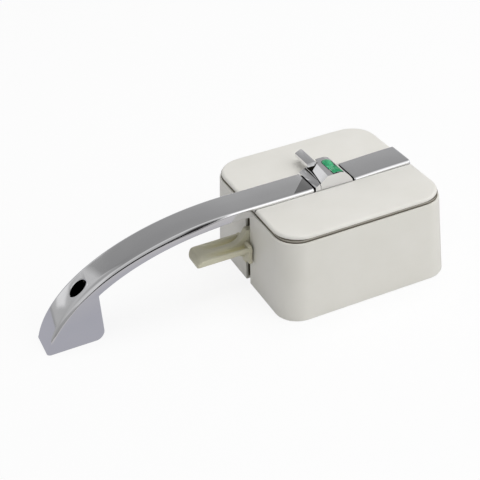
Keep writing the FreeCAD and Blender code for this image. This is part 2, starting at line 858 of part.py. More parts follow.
def make_plate_posts():
    posts = []
    for x, y in post_places():
        hole = post(x, y, top_plate_z - screw_depth, top_plate_z + 1, screw_diameter / 2)
        posts.append(post(x, y, chassis_top, top_plate_z, post_diameter / 2).cut(hole))
    return group(posts)


def make_plate_screws():
    seat = top_plate_z + chassis_thickness
    depth = screw_depth + chassis_thickness - screw_tip_gap
    return group([pan_screw(x, y, seat, -1, depth) for x, y in post_places()])


def make_chassis_screws():
    depth = chassis_thickness + chassis_screw_bite
    return group([pan_screw(x, y, chassis_top, -1, depth) for x, y in chassis_screw_places()])


def make_handle_screws():
    depth = channel_floor + screw_depth - screw_tip_gap
    return group([pan_screw(x, 0, channel_bottom, 1, depth) for x in handle_screw_places])


def make_trim_screws():
    depth = channel_floor + strip_top - cover_bottom - trim_skin - screw_tip_gap
    return group([pan_screw(x, 0, cover_bottom - channel_floor, 1, depth) for x in trim_screw_places])


def make_block_screws():
    seat = block_deck - screw_head_height
    depth = seat - channel_bottom - block_screw_skin - hole_gap
    return group([pan_screw(x, y, seat, -1, depth, block_screw_diameter, block_screw_head)
                  for x, y in block_screw_places()])


def make_release_arm():
    points = [(hinge_x - 3.5, hinge_z + 1.5), (hinge_x + 2.5, hinge_z + 4.5)]
    points += [(arm_tip_x + 2.3, hinge_z - 8)]
    points += [(arm_tip_x + arm_tip_radius, arm_tip_z), (arm_tip_x - arm_tip_radius, arm_tip_z)]
    points += [(arm_tip_x - arm_tip_radius, hinge_z - 12), (hinge_x - 2, hinge_z - 4.5)]
    y0 = lever_middle_y - arm_thickness / 2
    y1 = lever_middle_y + arm_thickness / 2
    tip = rod_y(arm_tip_x, arm_tip_z, y0, y1, arm_tip_radius)
    arm = joined([side_plate(points, y0, y1), tip])
    return arm.cut(hinge_bore(lever_pin_diameter / 2 + running_gap))


def make_lever_slab():
    """The part that is pulled: a slab with two troughs that get deeper towards its root."""
    slab = box(slab_tip_x, slab_root_x, -slab_half_width, slab_half_width, slab_bottom, slab_top)
    for side, radius in ((-1, slab_front_radius), (1, slab_back_radius)):
        corner = [edge for edge in upright_edges(slab) if edge.BoundBox.XMax < slab_tip_x + 0.1
                  and edge.BoundBox.YMin * side > slab_half_width - 0.1]
        slab = slab.makeFillet(radius, corner)
    cuts = []
    for side in (-1, 1):
        y = side * trough_offset
        start = FreeCAD.Vector(slab_root_x + 1, y, slab_top + trough_radius - trough_depth)
        end = FreeCAD.Vector(slab_tip_x + trough_end, y, slab_top + trough_radius + trough_clearance)
        cuts.append(Part.makeCylinder(trough_radius, (end - start).Length, start, end - start))
    return slab.cut(cuts)


def make_release_lever():
    slab = make_lever_slab()
    flange = box(flange_left, slab_root_x, -slab_half_width, slab_half_width, flange_bottom, flange_top)
    web = [(flange_left, web_bottom), (flange_left, web_top - 3), (slab_root_x, web_top)]
    web += [(hinge_x - 3, hinge_z + lever_hub_radius - 0.5)]
    web += [(hinge_x + 2, hinge_z - lever_hub_radius + 0.5)]
    web += [(hinge_x - 6, hinge_z - lever_hub_radius - 3), (slab_root_x, web_bottom)]
    rib = [(flange_left, flange_bottom), (flange_left, slab_bottom + 0.5)]
    rib += [(slab_tip_x + rib_length, slab_bottom + 0.5)]
    hub = rod_y(hinge_x, hinge_z, hub_front, hub_back, lever_hub_radius)
    plates = [side_plate(outline, web_front, web_back) for outline in (web, rib)]
    lever = joined([slab, flange, hub] + plates)
    return lever.cut([hinge_bore(lever_pin_diameter / 2 + running_gap), make_release_arm()])


def make_lever_bracket():
    outline = [(ear_front, chassis_top), (ear_front + 2, ear_top), (hinge_x + 5, ear_top)]
    outline += [(ear_back, tie_top), (ear_back, chassis_top)]
    parts = []
    for side, y in ((-1, ear_front_y), (1, ear_back_y)):
        y0, y1 = (y - ear_thickness, y) if side < 0 else (y, y + ear_thickness)
        parts.append(side_plate(outline, y0, y1))
        foot_y = (y0 - bracket_foot, y0) if side < 0 else (y1, y1 + bracket_foot)
        parts.append(box(ear_front + foot_setback, ear_back, foot_y[0], foot_y[1],
                         chassis_top, chassis_top + ear_thickness))
    parts.append(box(ear_back - ear_thickness, ear_back, ear_front_y - ear_thickness,
                     ear_back_y + ear_thickness, tie_bottom, tie_top))
    bracket = joined(parts)
    cuts = [hinge_bore(lever_pin_diameter / 2 + press_gap)]
    hole = screw_diameter / 2 + hole_gap
    cuts += [post(x, y, 0, chassis_top + 2 * ear_thickness, hole) for x, y in bracket_screw_places()]
    return bracket.cut(cuts)


def bracket_screw_places():
    x = (ear_front + ear_back) / 2
    out = bracket_foot / 2 + 0.3
    return [(x, ear_front_y - ear_thickness - out), (x, ear_back_y + ear_thickness + out)]


def make_lever_pin():
    y0 = ear_front_y - ear_thickness - pin_overhang
    y1 = ear_back_y + ear_thickness + pin_overhang
    return rod_y(hinge_x, hinge_z, y0, y1, lever_pin_diameter / 2)


def make_pin_clips():
    rings = []
    for y in (ear_front_y - ear_thickness - 0.1 - clip_ring_thickness, ear_back_y + ear_thickness + 0.1):
        ring = rod_y(hinge_x, hinge_z, y, y + clip_ring_thickness, clip_ring_radius)
        gap = box(hinge_x - clip_half_mouth, hinge_x + clip_half_mouth, y - clip_ring_thickness,
                  y + 2 * clip_ring_thickness, hinge_z, hinge_z + 2 * clip_ring_radius)
        rings.append(ring.cut([hinge_bore(lever_pin_diameter / 2), gap]))
    return group(rings)


def make_pin_spacer():
    sleeve = rod_y(hinge_x, hinge_z, ear_front_y, hub_front - 0.2, return_spring_radius)
    return sleeve.cut(hinge_bore(lever_pin_diameter / 2 + running_gap))


def make_lever_return_spring():
    y0 = hub_back + 0.2
    y1 = ear_back_y - 0.1
    coil = rod_y(hinge_x, hinge_z, y0, y1, return_spring_radius)
    coil = coil.cut(hinge_bore(return_spring_radius - return_spring_wire))
    half_wire = return_spring_wire / 2
    leg_z = hinge_z + return_spring_radius - half_wire
    leg = rod_x(y1 - half_wire, leg_z, hinge_x, ear_back - ear_thickness, half_wire - 0.1)
    return joined([coil, leg]).cut(hinge_bore(lever_pin_diameter / 2 + 0.3))


def make_bolt_carriage():
    plate = box(carriage_tail_end, carriage_front, -carriage_half_front, carriage_half_back,
                carriage_bottom, carriage_top)
    tail = box(push_tab_left, carriage_tail_end, lever_middle_y - carriage_tail_half,
               lever_middle_y + carriage_tail_half, carriage_bottom, carriage_top)
    push_tab = box(push_tab_left, push_tab_right, lever_middle_y - push_tab_half,
                   lever_middle_y + push_tab_half, push_tab_bottom, carriage_top)
    spring_tab = box(spring_tab_x, spring_tab_x + carriage_thickness, spring_tab_front, spring_tab_back,
                     carriage_bottom, spring_tab_top)
    wing = box(return_tab_x, return_tab_x + return_wing_length, carriage_half_back - 1,
               return_tab_y + return_tab_half, carriage_bottom, carriage_top)
    return_tab = box(return_tab_x, return_tab_x + carriage_thickness, return_tab_y - return_tab_half,
                     return_tab_y + return_tab_half, return_tab_bottom, carriage_top)
    parts = [plate, tail, push_tab, spring_tab, wing, return_tab] + bolt_walls() + bar_lip()
    window = box(push_tab_right, push_tab_right + arm_window_length, lever_middle_y - arm_window_half,
                 lever_middle_y + arm_window_half, carriage_bottom - 1, carriage_top + 1)
    peg = post(stop_pin_x(), 0, 0, carriage_top + 1, stop_pin_diameter / 2)
    return joined(parts).cut([window, peg])


def bolt_walls():
    """The carriage's two walls beside the bolt."""
    inner = bolt_half_width + bolt_gap
    outer = inner + carriage_thickness
    high = carriage_top + wall_height
    return [box(wall_start, carriage_front, y0, y1, carriage_bottom, high)
            for y0, y1 in ((-outer, -inner), (inner, outer))]


def bar_lip():
    """The hooked lip on the carriage that the clutch bar slides in."""
    left = bar_left() - bar_gap - lip_width
    high = carriage_top + lip_height
    upright = box(left, left + lip_width, -carriage_half_front, lip_back, carriage_bottom, high)
    hook = box(left, left + lip_width + lip_hook, -carriage_half_front, lip_back,
               bar_top + bar_gap, high)
    return [upright, hook]


def stop_pin_x():
    return stop_slot_start + bolt_gap + stop_pin_diameter / 2


def make_stop_pin():
    high = bolt_bottom + stop_slot_depth - 0.4
    return post(stop_pin_x(), 0, carriage_bottom, high, stop_pin_diameter / 2)


def make_latch_bolt():
    low = [(bolt_rear, bolt_half_width), (bolt_rear, -bolt_half_width)]
    low += [(bolt_reach - bolt_bevel, -bolt_half_width)]
    low += [(bolt_reach, bolt_half_width - bolt_tip_flat), (bolt_reach, bolt_half_width)]
    bolt = flat_plate(low, bolt_bottom, bolt_top)
    slot_end = stop_pin_x() + bolt_travel + stop_pin_diameter / 2 + bolt_gap
    half = stop_pin_diameter / 2 + hole_gap
    slot = box(stop_slot_start, slot_end, -half, half, bolt_bottom - 1, bolt_bottom + stop_slot_depth)
    pocket_end = bolt_rear + bolt_spring_pocket
    pocket = rod_x(bolt_spring_y, bolt_spring_z, bolt_rear - 1, pocket_end, bolt_spring_bore)
    return bolt.cut([slot, pocket])


def coil_tube(y, z, x0, x1, radius):
    """A spring drawn as a thin tube."""
    return rod_x(y, z, x0, x1, radius).cut(rod_x(y, z, x0 - 1, x1 + 1, radius - coil_wire))


def make_bolt_spring():
    return coil_tube(bolt_spring_y, bolt_spring_z, spring_tab_x + carriage_thickness,
                     bolt_rear + bolt_spring_pocket, bolt_spring_radius)


def make_carriage_spring():
    start = anchor_x + chassis_thickness
    return coil_tube(return_tab_y, return_spring_z, start, return_tab_x, coil_radius)


def make_bolt_guide():
    body = box(guide_left, guide_right, -guide_half_width, guide_half_width, chassis_top, guide_top)
    window = bolt_window(guide_left - 1, guide_right + 1, bolt_gap)
    out = guide_half_width + guide_foot
    feet = box(guide_left, guide_right, -out, out, chassis_top, chassis_top + guide_foot_height)
    holes = [post(x, y, 0, chassis_top + guide_foot_height + 1, screw_diameter / 2 + hole_gap)
             for x, y, _ in inner_screw_places() if x > guide_left]
    return joined([body, feet]).cut([window] + holes)


def make_inner_screws():
    return group([pan_screw(x, y, chassis_top + thickness, -1, thickness + chassis_thickness)
                  for x, y, thickness in inner_screw_places()])


def make_bolt_plate():
    plate = wall_plate(plate_thickness, plate_inlay, 0)
    holes = [plate_screw(y, z, wall_screw_radius, wall_screw_head) for y, z in plate_screw_places()]
    return plate.cut([bolt_window(0, case_length, bolt_wall_gap)] + holes)


def plate_screw(y, z, radius, head, length=wall_screw_depth):
    """A countersunk screw square to the bolt plate, or the hole for it."""
    start = plate_thickness - plate_inlay
    screw = rod_x(y, z, start - length, start, radius)
    if head:
        inward = FreeCAD.Vector(-1, 0, 0)
        cone = Part.makeCone(head, radius, head - radius, FreeCAD.Vector(start, y, z), inward)
        screw = screw.fuse(cone).removeSplitter()
    screw.rotate(FreeCAD.Vector(0, 0, 0), FreeCAD.Vector(0, 1, 0), -case_draft)
    screw.translate(FreeCAD.Vector(case_length / 2, 0, 0))
    return screw


def plate_screw_places():
    y = plate_half_width - wall_screw_inset_y
    return [(side * y, z) for side in (-1, 1)
            for z in (plate_low + wall_screw_inset_z, plate_high - wall_screw_inset_z)]


def make_wall_screws():
    screws = []
    for y, z in plate_screw_places():
        slot = plate_screw(y, z, wall_screw_head / 3, 0, wall_screw_slot)
        screws.append(plate_screw(y, z, wall_screw_radius, wall_screw_head).cut(slot))
    return group(screws)


def make_follower():
    parts = [post(0, 0, follower_bottom, follower_shoulder, follower_low_radius)]
    parts.append(post(0, 0, follower_shoulder, follower_hub_top, follower_hub_radius))
    parts.append(post(0, 0, follower_hub_top, follower_top, follower_top_radius))
    parts.append(box(-finger_half_width, finger_half_width, -finger_reach, 0, finger_bottom, finger_top))
    half = square_size / 2
    return joined(parts).cut(box(-half, half, -half, half, -1, follower_top + 1))


def make_follower_bridge():
    plate = box(-bridge_half_width, bridge_half_width, bridge_front, bridge_leg_y + chassis_thickness,
                bridge_bottom, bridge_bottom + chassis_thickness)
    front = [edge for edge in upright_edges(plate) if edge.BoundBox.YMax < 0]
    plate = plate.makeFillet(bridge_corner, front)
    leg = box(-bridge_leg_half, bridge_leg_half, bridge_leg_y, bridge_leg_y + chassis_thickness,
              chassis_top, bridge_bottom + chassis_thickness)
    foot = box(-bridge_leg_half, bridge_leg_half, bridge_leg_y, bridge_foot_end,
               chassis_top, chassis_top + chassis_thickness)
    bridge = joined([plate, leg, foot])
    cuts = [post(0, 0, bridge_bottom - 1, bridge_bottom + 3, follower_top_radius + running_gap)]
    cuts.append(post(0, bridge_screw_y(), 0, bridge_bottom - 2, screw_diameter / 2 + hole_gap))
    return bridge.cut(cuts)


def bridge_screw_y():
    return (bridge_leg_y + chassis_thickness + bridge_foot_end) / 2


def bar_left():
    return snib_x - crank_throw - crank_pin_diameter / 2 - crank_pin_gap - bar_wall


def make_clutch_bar():
    x, y = crank_pin_place()
    half = crank_pin_diameter / 2 + crank_pin_gap
    slot_left = snib_x - crank_throw - half
    slot_right = x + carriage_travel + half + bar_gap
    left = bar_left()
    right = spring_tab_x - bar_gap
    plate = box(left, right, nose_back - neck_overlap, bar_back, bar_bottom, bar_top)
    nose_x = -finger_half_width - push_gap
    nose = box(nose_x - nose_width, nose_x, nose_front, nose_back, nose_bottom, bar_top)
    neck = box(nose_x - nose_width - neck_wall, nose_x + neck_wall, nose_front, nose_back,
               bar_bottom, bar_top)
    slot = box(slot_left, slot_right, y - half, y + half, bar_bottom - 1, bar_top + 1)
    return joined([plate, nose, neck]).cut(slot)


pieces = {
    "base_shell": make_base_shell,
    "top_cover": make_top_cover,
    "cover_seal": make_cover_seal,
    "grab_handle": make_grab_handle,
    "trim_strip": make_trim_strip,
    "indicator_base": make_indicator_base,
    "indicator_hood": make_indicator_hood,
    "indicator_lens": make_indicator_lens,
    "snib_lever": make_snib_lever,
    "snib_spindle": make_snib_spindle,
    "snib_bush": make_snib_bush,
    "friction_washer": make_friction_washer,
    "indicator_disc": make_indicator_disc,
    "flag_green": lambda: make_flag(0),
    "flag_red": lambda: make_flag(-snib_turn),
    "snib_crank": make_snib_crank,
    "spindle_clip": make_spindle_clip,
    "chassis_plate": make_chassis_plate,
    "top_plate": make_top_plate,
    "plate_posts": make_plate_posts,
    "plate_screws": make_plate_screws,
    "chassis_screws": make_chassis_screws,
    "handle_screws": make_handle_screws,
    "trim_screws": make_trim_screws,
    "block_screws": make_block_screws,
    "inner_screws": make_inner_screws,
    "wall_screws": make_wall_screws,
    "release_lever": make_release_lever,
    "release_arm": make_release_arm,
    "lever_bracket": make_lever_bracket,
    "lever_pin": make_lever_pin,
    "pin_clips": make_pin_clips,
    "pin_spacer": make_pin_spacer,
    "lever_return_spring": make_lever_return_spring,
    "bolt_carriage": make_bolt_carriage,
    "stop_pin": make_stop_pin,
    "latch_bolt": make_latch_bolt,
    "bolt_spring": make_bolt_spring,
    "carriage_spring": make_carriage_spring,
    "bolt_guide": make_bolt_guide,
    "bolt_plate": make_bolt_plate,
    "follower": make_follower,
    "follower_bridge": make_follower_bridge,
    "clutch_bar": make_clutch_bar,
}

os.makedirs("parts", exist_ok=True)
for name, make in pieces.items():
    shape = make()
    solids = len(shape.Solids)
    print(name, "solids", solids, "valid", shape.isValid(), "volume", round(shape.Volume, 1))
    shape.exportStep("parts/" + name + ".step")
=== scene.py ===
import json
import math
import bpy
import bmesh
from mathutils import Matrix, Vector


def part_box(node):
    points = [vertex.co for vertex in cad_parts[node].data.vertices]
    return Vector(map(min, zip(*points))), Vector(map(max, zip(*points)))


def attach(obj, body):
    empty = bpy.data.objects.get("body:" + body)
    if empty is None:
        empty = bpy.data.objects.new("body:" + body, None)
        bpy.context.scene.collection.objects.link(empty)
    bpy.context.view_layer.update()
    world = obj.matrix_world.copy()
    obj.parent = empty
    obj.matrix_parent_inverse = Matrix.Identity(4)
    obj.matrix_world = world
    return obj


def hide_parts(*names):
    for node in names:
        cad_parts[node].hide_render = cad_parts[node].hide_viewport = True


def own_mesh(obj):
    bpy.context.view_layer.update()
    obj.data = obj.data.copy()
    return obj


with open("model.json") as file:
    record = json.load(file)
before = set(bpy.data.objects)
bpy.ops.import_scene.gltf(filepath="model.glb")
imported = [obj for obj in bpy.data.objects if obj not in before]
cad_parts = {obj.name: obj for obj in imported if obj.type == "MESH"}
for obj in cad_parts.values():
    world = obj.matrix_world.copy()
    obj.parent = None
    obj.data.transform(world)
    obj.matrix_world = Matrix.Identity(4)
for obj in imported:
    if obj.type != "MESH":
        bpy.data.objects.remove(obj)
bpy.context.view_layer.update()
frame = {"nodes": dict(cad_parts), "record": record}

# Sizes are in millimetres. Meshes and places are made in metres, so they are multiplied by mm.
mm = 0.001
# Most cutters go this far past the piece that they cut.
beyond = 80.0
# Faces that would lie in one plane are kept this far apart.
hair = 0.001


def newObject(name, data):
    obj = bpy.data.objects.new(name, data)
    bpy.context.scene.collection.objects.link(obj)
    return obj


def meshObject(name, points, faces):
    mesh = bpy.data.meshes.new(name)
    mesh.from_pydata([tuple(value * mm for value in point) for point in points], [], faces)
    mesh.validate()
    obj = newObject(name, mesh)
    outwardNormals(obj)
    return obj


def outwardNormals(obj):
    work = bmesh.new()
    work.from_mesh(obj.data)
    bmesh.ops.remove_doubles(work, verts=work.verts, dist=0.000001)
    bmesh.ops.recalc_face_normals(work, faces=work.faces)
    work.to_mesh(obj.data)
    work.free()


def applyModifiers(obj):
    graph = bpy.context.evaluated_depsgraph_get()
    mesh = bpy.data.meshes.new_from_object(obj.evaluated_get(graph))
    obj.modifiers.clear()
    old = obj.data
    obj.data = mesh
    bpy.data.meshes.remove(old)


def removeObject(obj):
    mesh = obj.data
    bpy.data.objects.remove(obj)
    bpy.data.meshes.remove(mesh)


def cutOut(obj, cutters, operation="DIFFERENCE"):
    for cutter in cutters:
        modifier = obj.modifiers.new("cut", "BOOLEAN")
        modifier.operation = operation
        modifier.solver = "EXACT"
        modifier.object = cutter
    applyModifiers(obj)
    for cutter in cutters:
        removeObject(cutter)


def softenEdges(obj, width, segments=3, angle=35):
    modifier = obj.modifiers.new("soft", "BEVEL")
    modifier.width = width * mm
    modifier.segments = segments
    modifier.limit_method = "ANGLE"
    modifier.angle_limit = math.radians(angle)
    modifier.use_clamp_overlap = True
    applyModifiers(obj)


def finished(obj, name, angle):
    obj.data.polygons.foreach_set("use_smooth", [True] * len(obj.data.polygons))
    obj.data.set_sharp_from_angle(angle=math.radians(angle))
    obj.name = name
    return obj


def spotAt(x, y, z):
    return Matrix.Translation((x * mm, y * mm, z * mm))


def weightNormals(obj):
    modifier = obj.modifiers.new("weights", "WEIGHTED_NORMAL")
    modifier.keep_sharp = True
    applyModifiers(obj)


def joinInto(first, others):
    work = bmesh.new()
    work.from_mesh(first.data)
    for other in others:
        work.from_mesh(other.data)
    work.to_mesh(first.data)
    work.free()
    for other in others:
        removeObject(other)


def block(x0, x1, y0, y1, z0, z1):
    points = [(x, y, z) for x in (x0, x1) for y in (y0, y1) for z in (z0, z1)]
    faces = [(0, 1, 3, 2), (4, 6, 7, 5), (0, 4, 5, 1), (2, 3, 7, 6), (0, 2, 6, 4), (1, 5, 7, 3)]
    return meshObject("block", points, faces)


def prism(outline, low, high, along):
    place = {
        "y": lambda a, b, level: (a, level, b),
        "z": lambda a, b, level: (a, b, level),
        "x": lambda a, b, level: (level, a, b),
    }[along]
    count = len(outline)
    points = [place(a, b, low) for a, b in outline] + [place(a, b, high) for a, b in outline]
    faces = [tuple(range(count)), tuple(range(2 * count - 1, count - 1, -1))]
    for index in range(count):
        after = (index + 1) % count
        faces.append((index, after, after + count, index + count))
    return meshObject("prism", points, faces)


def circle(centreA, centreB, radius, count=48):
    turns = [2 * math.pi * index / count for index in range(count)]
    return [(centreA + radius * math.cos(turn), centreB + radius * math.sin(turn)) for turn in turns]


def post(centreA, centreB, radius, low, high, count=32, along="z"):
    return prism(circle(centreA, centreB, radius, count), low, high, along)


def quarterRound(radius, steps):
    turns = [math.pi / 2 * step / steps for step in range(steps + 1)]
    return [(radius * (1 - math.sin(turn)), radius * (1 - math.cos(turn))) for turn in turns]


def roundedOutline(corners, radii, steps=5):
    outline = []
    count = len(corners)
    for index, corner in enumerate(corners):
        here = Vector(corner)
        before = Vector(corners[index - 1]) - here
        after = Vector(corners[(index + 1) % count]) - here
        radius = radii[index]
        if radius <= 0:
            outline.append(tuple(here))
            continue
        angle = before.angle(after)
        reach = min(radius / math.tan(angle / 2), before.length * 0.49, after.length * 0.49)
        radius = reach * math.tan(angle / 2)
        start = here + before.normalized() * reach
        end = here + after.normalized() * reach
        towardsCentre = (before.normalized() + after.normalized()).normalized()
        centre = here + towardsCentre * (radius / math.sin(angle / 2))
        first = start - centre
        last = end - centre
        sweep = first.angle_signed(last)
        for step in range(steps + 1):
            turned = first.copy()
            turned.rotate(Matrix.Rotation(-sweep * step / steps, 2))
            outline.append(tuple(centre + turned))
    return outline


def roundRectangle(halfX, halfY, radius, steps=10):
    corners = [(halfX, halfY), (-halfX, halfY), (-halfX, -halfY), (halfX, -halfY)]
    return roundedOutline(corners, [radius] * 4, steps)


def ringLoft(rings, closed=True):
    count = len(rings[0])
    points = [point for ring in rings for point in ring]
    faces = []
    for low in range(0, (len(rings) - 1) * count, count):
        high = low + count
        for index in range(count):
            after = (index + 1) % count
            faces.append((low + index, low + after, high + after, high + index))
    if closed:
        faces.append(tuple(range(count - 1, -1, -1)))
        last = (len(rings) - 1) * count
        faces.append(tuple(range(last, last + count)))
    return meshObject("loft", points, faces)


caseSizes = {
    "length": 105.0,
    "width": 99.6,
    "cornerRadius": 13.7,
    "height": 48.2,
    "draftSlope": math.tan(math.radians(2.93)),
    "wall": 2.6,
    "floor": 3.0,
    "edgeRound": 0.6,
    "innerRound": 0.3,
    "slotFront": -4.0,
    "slotBack": 1.5,
    "slotTop": 43.7,
    "slotRound": 0.6,
    "slotEnd": -46.0,
    "slotFloorEnd": -49.5,
    "boltHole": (-8.4, 8.4, 19.4, 31.7),
    "boltHoleStart": 45.6,
    "spindleHole": 7.5,
    "fixingHole": 2.3,
    "fixingPlaces": [(x, y) for x in (-38.0, 38.0) for y in (-40.5, 40.5)],
}


def caseRing(inset, radius, z, drafted=True):
    drawIn = inset + (z if drafted else caseSizes["height"]) * caseSizes["draftSlope"]
    outline = roundRectangle(caseSizes["length"] / 2 - drawIn, caseSizes["width"] / 2 - drawIn, radius)
    return [(x, y, z) for x, y in outline]


def makeCaseShell():
    size = caseSizes
    radius = size["cornerRadius"]
    height = size["height"]
    floor = size["floor"]
    front = size["slotFront"]
    back = size["slotBack"]
    top = size["slotTop"]
    rings = []
    for inset, z in quarterRound(size["edgeRound"], 4):
        rings.append(caseRing(inset, radius - inset, z))
    for drop, inset in quarterRound(size["edgeRound"], 4):
        rings.append(caseRing(inset, radius - inset, height - drop))
    soft = size["innerRound"]
    wall = size["wall"]
    for inset, z in ((wall - soft, height), (wall, height - soft), (wall, floor)):
        rings.append(caseRing(inset, radius - inset, z))
    shell = ringLoft(rings)
    slot = roundedOutline([(back, top), (front, top), (front, floor), (back, floor)],
                          [size["slotRound"], size["slotRound"], 0, 0])
    cutters = [
        prism(slot, -size["length"], size["slotEnd"], "x"),
        block(-size["length"], size["slotFloorEnd"], front, back, -1, floor + 0.1),
        block(size["boltHoleStart"], size["length"], *size["boltHole"]),
        post(0, 0, size["spindleHole"], -1, floor + 1, 48),
    ]
    cutters += [post(x, y, size["fixingHole"], -1, floor + 1) for x, y in size["fixingPlaces"]]
    cutOut(shell, cutters)
    return finished(shell, "caseShell", 30)


coverSizes = {
    "bottom": 50.35,
    "top": 52.25,
    "inset": 0.35,
    "underInset": 0.15,
    "cutRound": 0.25,
    "cornerRadius": 15.5,
    "edgeRadius": 1.75,
    "channelHalf": 10.3,
    "channelTop": 48.2,
    "channelFloor": 2.0,
    "channelEnd": 12.6,
    "channelWall": 1.6,
    "lensGap": 0.3,
    "bushHole": 3.62,
    "skirtDepth": 5.0,
    "skirtInset": 2.9,
    "skirtWall": 1.6,
    "clipPlaces": [(side, along) for side in (-1, 1) for along in (-27.0, 27.0)],
    "clipHalf": 4.5,
    "clipOutline": [(44.28, 50.35), (44.28, 37.6), (45.18, 37.6), (44.28, 35.2), (42.68, 35.2),
                    (42.68, 50.35)],
}


def makeCover():
    size = coverSizes
    radius = size["cornerRadius"]
    bottom = size["bottom"]
    top = size["top"]
    half = size["channelHalf"]
    under = size["underInset"]
    rings = [caseRing(size["inset"] + under, radius - under, bottom, False)]
    for drop, inset in quarterRound(size["edgeRadius"], 8):
        rings.append(caseRing(size["inset"] + inset, radius - inset, top - drop, False))
    plate = ringLoft(rings)
    cutOut(plate, [block(-beyond, beyond, -half, half, bottom - 2, top + 2)])
    softenEdges(plate, size["cutRound"], 2, 50)
    skirtInset = size["skirtInset"]
    skirtOuter = caseSizes["cornerRadius"] - skirtInset
    low = caseSizes["height"] - size["skirtDepth"]
    outside = (skirtInset, skirtOuter)
    inside = (skirtInset + size["skirtWall"], skirtOuter - size["skirtWall"])
    skirt = ringLoft([caseRing(*outside, low, False), caseRing(*outside, bottom, False),
                      caseRing(*inside, bottom, False), caseRing(*inside, low, False)], False)
    joinInto(skirt, [ringLoft([caseRing(*outside, low, False), caseRing(*inside, low, False)], False)])
    channelLeft = -caseSizes["length"] / 2 + caseSizes["height"] * caseSizes["draftSlope"] + skirtInset
    floorLow = size["channelTop"] - size["channelFloor"]
    outer = half + size["channelWall"]
    channel = prism([(-outer, floorLow), (outer, floorLow), (outer, bottom), (half, bottom),
                     (half, size["channelTop"]), (-half, size["channelTop"]), (-half, bottom),
                     (-outer, bottom)], channelLeft, size["channelEnd"], "x")
    lens = lensSizes
    gap = size["lensGap"]
    cutOut(channel, [block(lens["left"] - gap, lens["right"] + gap, lens["front"] - gap, lens["back"] + gap,
                           floorLow - 1, top),
                     post(snibSizes["x"], snibSizes["y"], size["bushHole"], floorLow - 1, top)])
    trimFloor = block(size["channelEnd"], -channelLeft, -outer, outer, bottom - size["channelFloor"], bottom)
    parts = [skirt, channel, trimFloor]
    for side, along in size["clipPlaces"]:
        outline = [(side * y, z) for y, z in size["clipOutline"]]
        parts.append(prism(outline, along - size["clipHalf"], along + size["clipHalf"], "x"))
    joinInto(plate, parts)
    return finished(plate, "cover", 30)


sealSizes = {
    "low": 48.2,
    "bandLow": 48.75,
    "bandHigh": 49.85,
    "high": 50.35,
    "inset": 0.9,
    "bandInset": 1.25,
    "bandStep": 0.1,
    "width": 1.5,
}


def makeSeal():
    size = sealSizes
    radius = caseSizes["cornerRadius"]
    outer = size["inset"]
    band = size["bandInset"]
    inner = outer + size["width"]
    step = size["bandStep"]
    levels = [(outer, size["low"]), (outer, size["bandLow"]), (band, size["bandLow"] + step),
              (band, size["bandHigh"] - step), (outer, size["bandHigh"]), (outer, size["high"]),
              (inner, size["high"]), (inner, size["low"]), (outer, size["low"])]
    rings = [caseRing(inset, radius - inset, z, False) for inset, z in levels]
    seal = ringLoft(rings, False)
    half = coverSizes["channelHalf"]
    cutOut(seal, [block(-beyond, 0, -half, half, 0, beyond)])
    return finished(seal, "coverSeal", 30)


stripSizes = {
    "half": 10.0,
    "top": 54.5,
    "bottom": 48.2,
    "edge": (1.1, 1.2, 2.0),
    "archEdge": (1.8, 3.8, 4.0),
    "footEndEdge": (1.0, 1.4, 1.6),
    "right": -13.1,
    "archStart": -59.7,
    "archReach": 116.2,
    "archDrop": 64.3,
    "innerReach": 108.6,
    "innerDrop": 58.0,
    "footInner": -141.9,
    "footRound": 6.0,
    "footScrew": -150.2,
    "footBore": 4.7,
    "footHole": 2.6,
    "footSeat": 6.0,
    "underRound": 0.5,
    "endRound": 0.3,
    "footShift": 1.04,
    "edgeGrown": 0.25,
    "edgeShrinks": 0.7,
    "boreRound": [(-0.05, -0.6), (0.5, 0.0), (1.4, 1.3)],
    "barSteps": 12,
    "pathSteps": 80,
    "stations": 90,
    # A painted reflection: the bar's top is darker in a triangle left of the block.
    "paintedReflectionStart": -16.8,
    "paintedReflectionSlope": 0.93,
    "paintedReflectionShade": 0.56,
}


def barSection(outer, inner, inset, frontEdge, backEdge):
    across = stripSizes["half"] - inset
    outer = Vector(outer)
    inner = Vector(inner)
    depth = (inner - outer).length
    down = (inner - outer).normalized()
    frontWidth, frontHeight, frontRound = frontEdge
    backWidth, backHeight, backRound = backEdge
    corners = [(frontWidth - across, 0), (across - backWidth, 0), (across, backHeight), (across, depth),
               (-across, depth), (-across, frontHeight)]
    lowRound = stripSizes["underRound"]
    radii = [frontRound, backRound, backRound, lowRound, lowRound, frontRound]
    section = roundedOutline(corners, radii, 6)
    return [(outer.x + down.x * low, side, outer.y + down.y * low) for side, low in section]


def archPoint(reach, drop, turn):
    size = stripSizes
    x = size["archStart"] - reach * math.sin(turn)
    z = size["top"] - size["archDrop"] + drop * math.cos(turn)
    return x, z


def innerPath():
    size = stripSizes
    last = math.asin((size["archStart"] - size["footInner"]) / size["innerReach"])
    points = [archPoint(size["innerReach"], size["innerDrop"], last * step / 40) for step in range(41)]
    high = points[-1][1]
    points += [(size["footInner"], high * (1 - step / 20)) for step in range(1, 21)]
    return points


def footCorner():
    radius = stripSizes["footRound"]
    edge = stripSizes["footInner"]
    outline = [(edge + 1, -1), (edge + 1, radius)]
    outline += [(edge - inset, z) for z, inset in quarterRound(radius, 12)]
    outline.append((edge - radius, -1))
    return prism(outline, -beyond, beyond, "y")


def pathAt(points, share):
    lengths = [0.0]
    for index in range(1, len(points)):
        lengths.append(lengths[-1] + (Vector(points[index]) - Vector(points[index - 1])).length)
    target = share * lengths[-1]
    index = 1
    while index < len(points) - 1 and lengths[index] < target:
        index += 1
    part = (target - lengths[index - 1]) / (lengths[index] - lengths[index - 1])
    here = Vector(points[index - 1]).lerp(Vector(points[index]), part)
    return here.x, here.y


def smoothStep(value, low, high):
    share = max(0.0, min(1.0, (value - low) / (high - low)))
    return share * share * (3 - 2 * share)


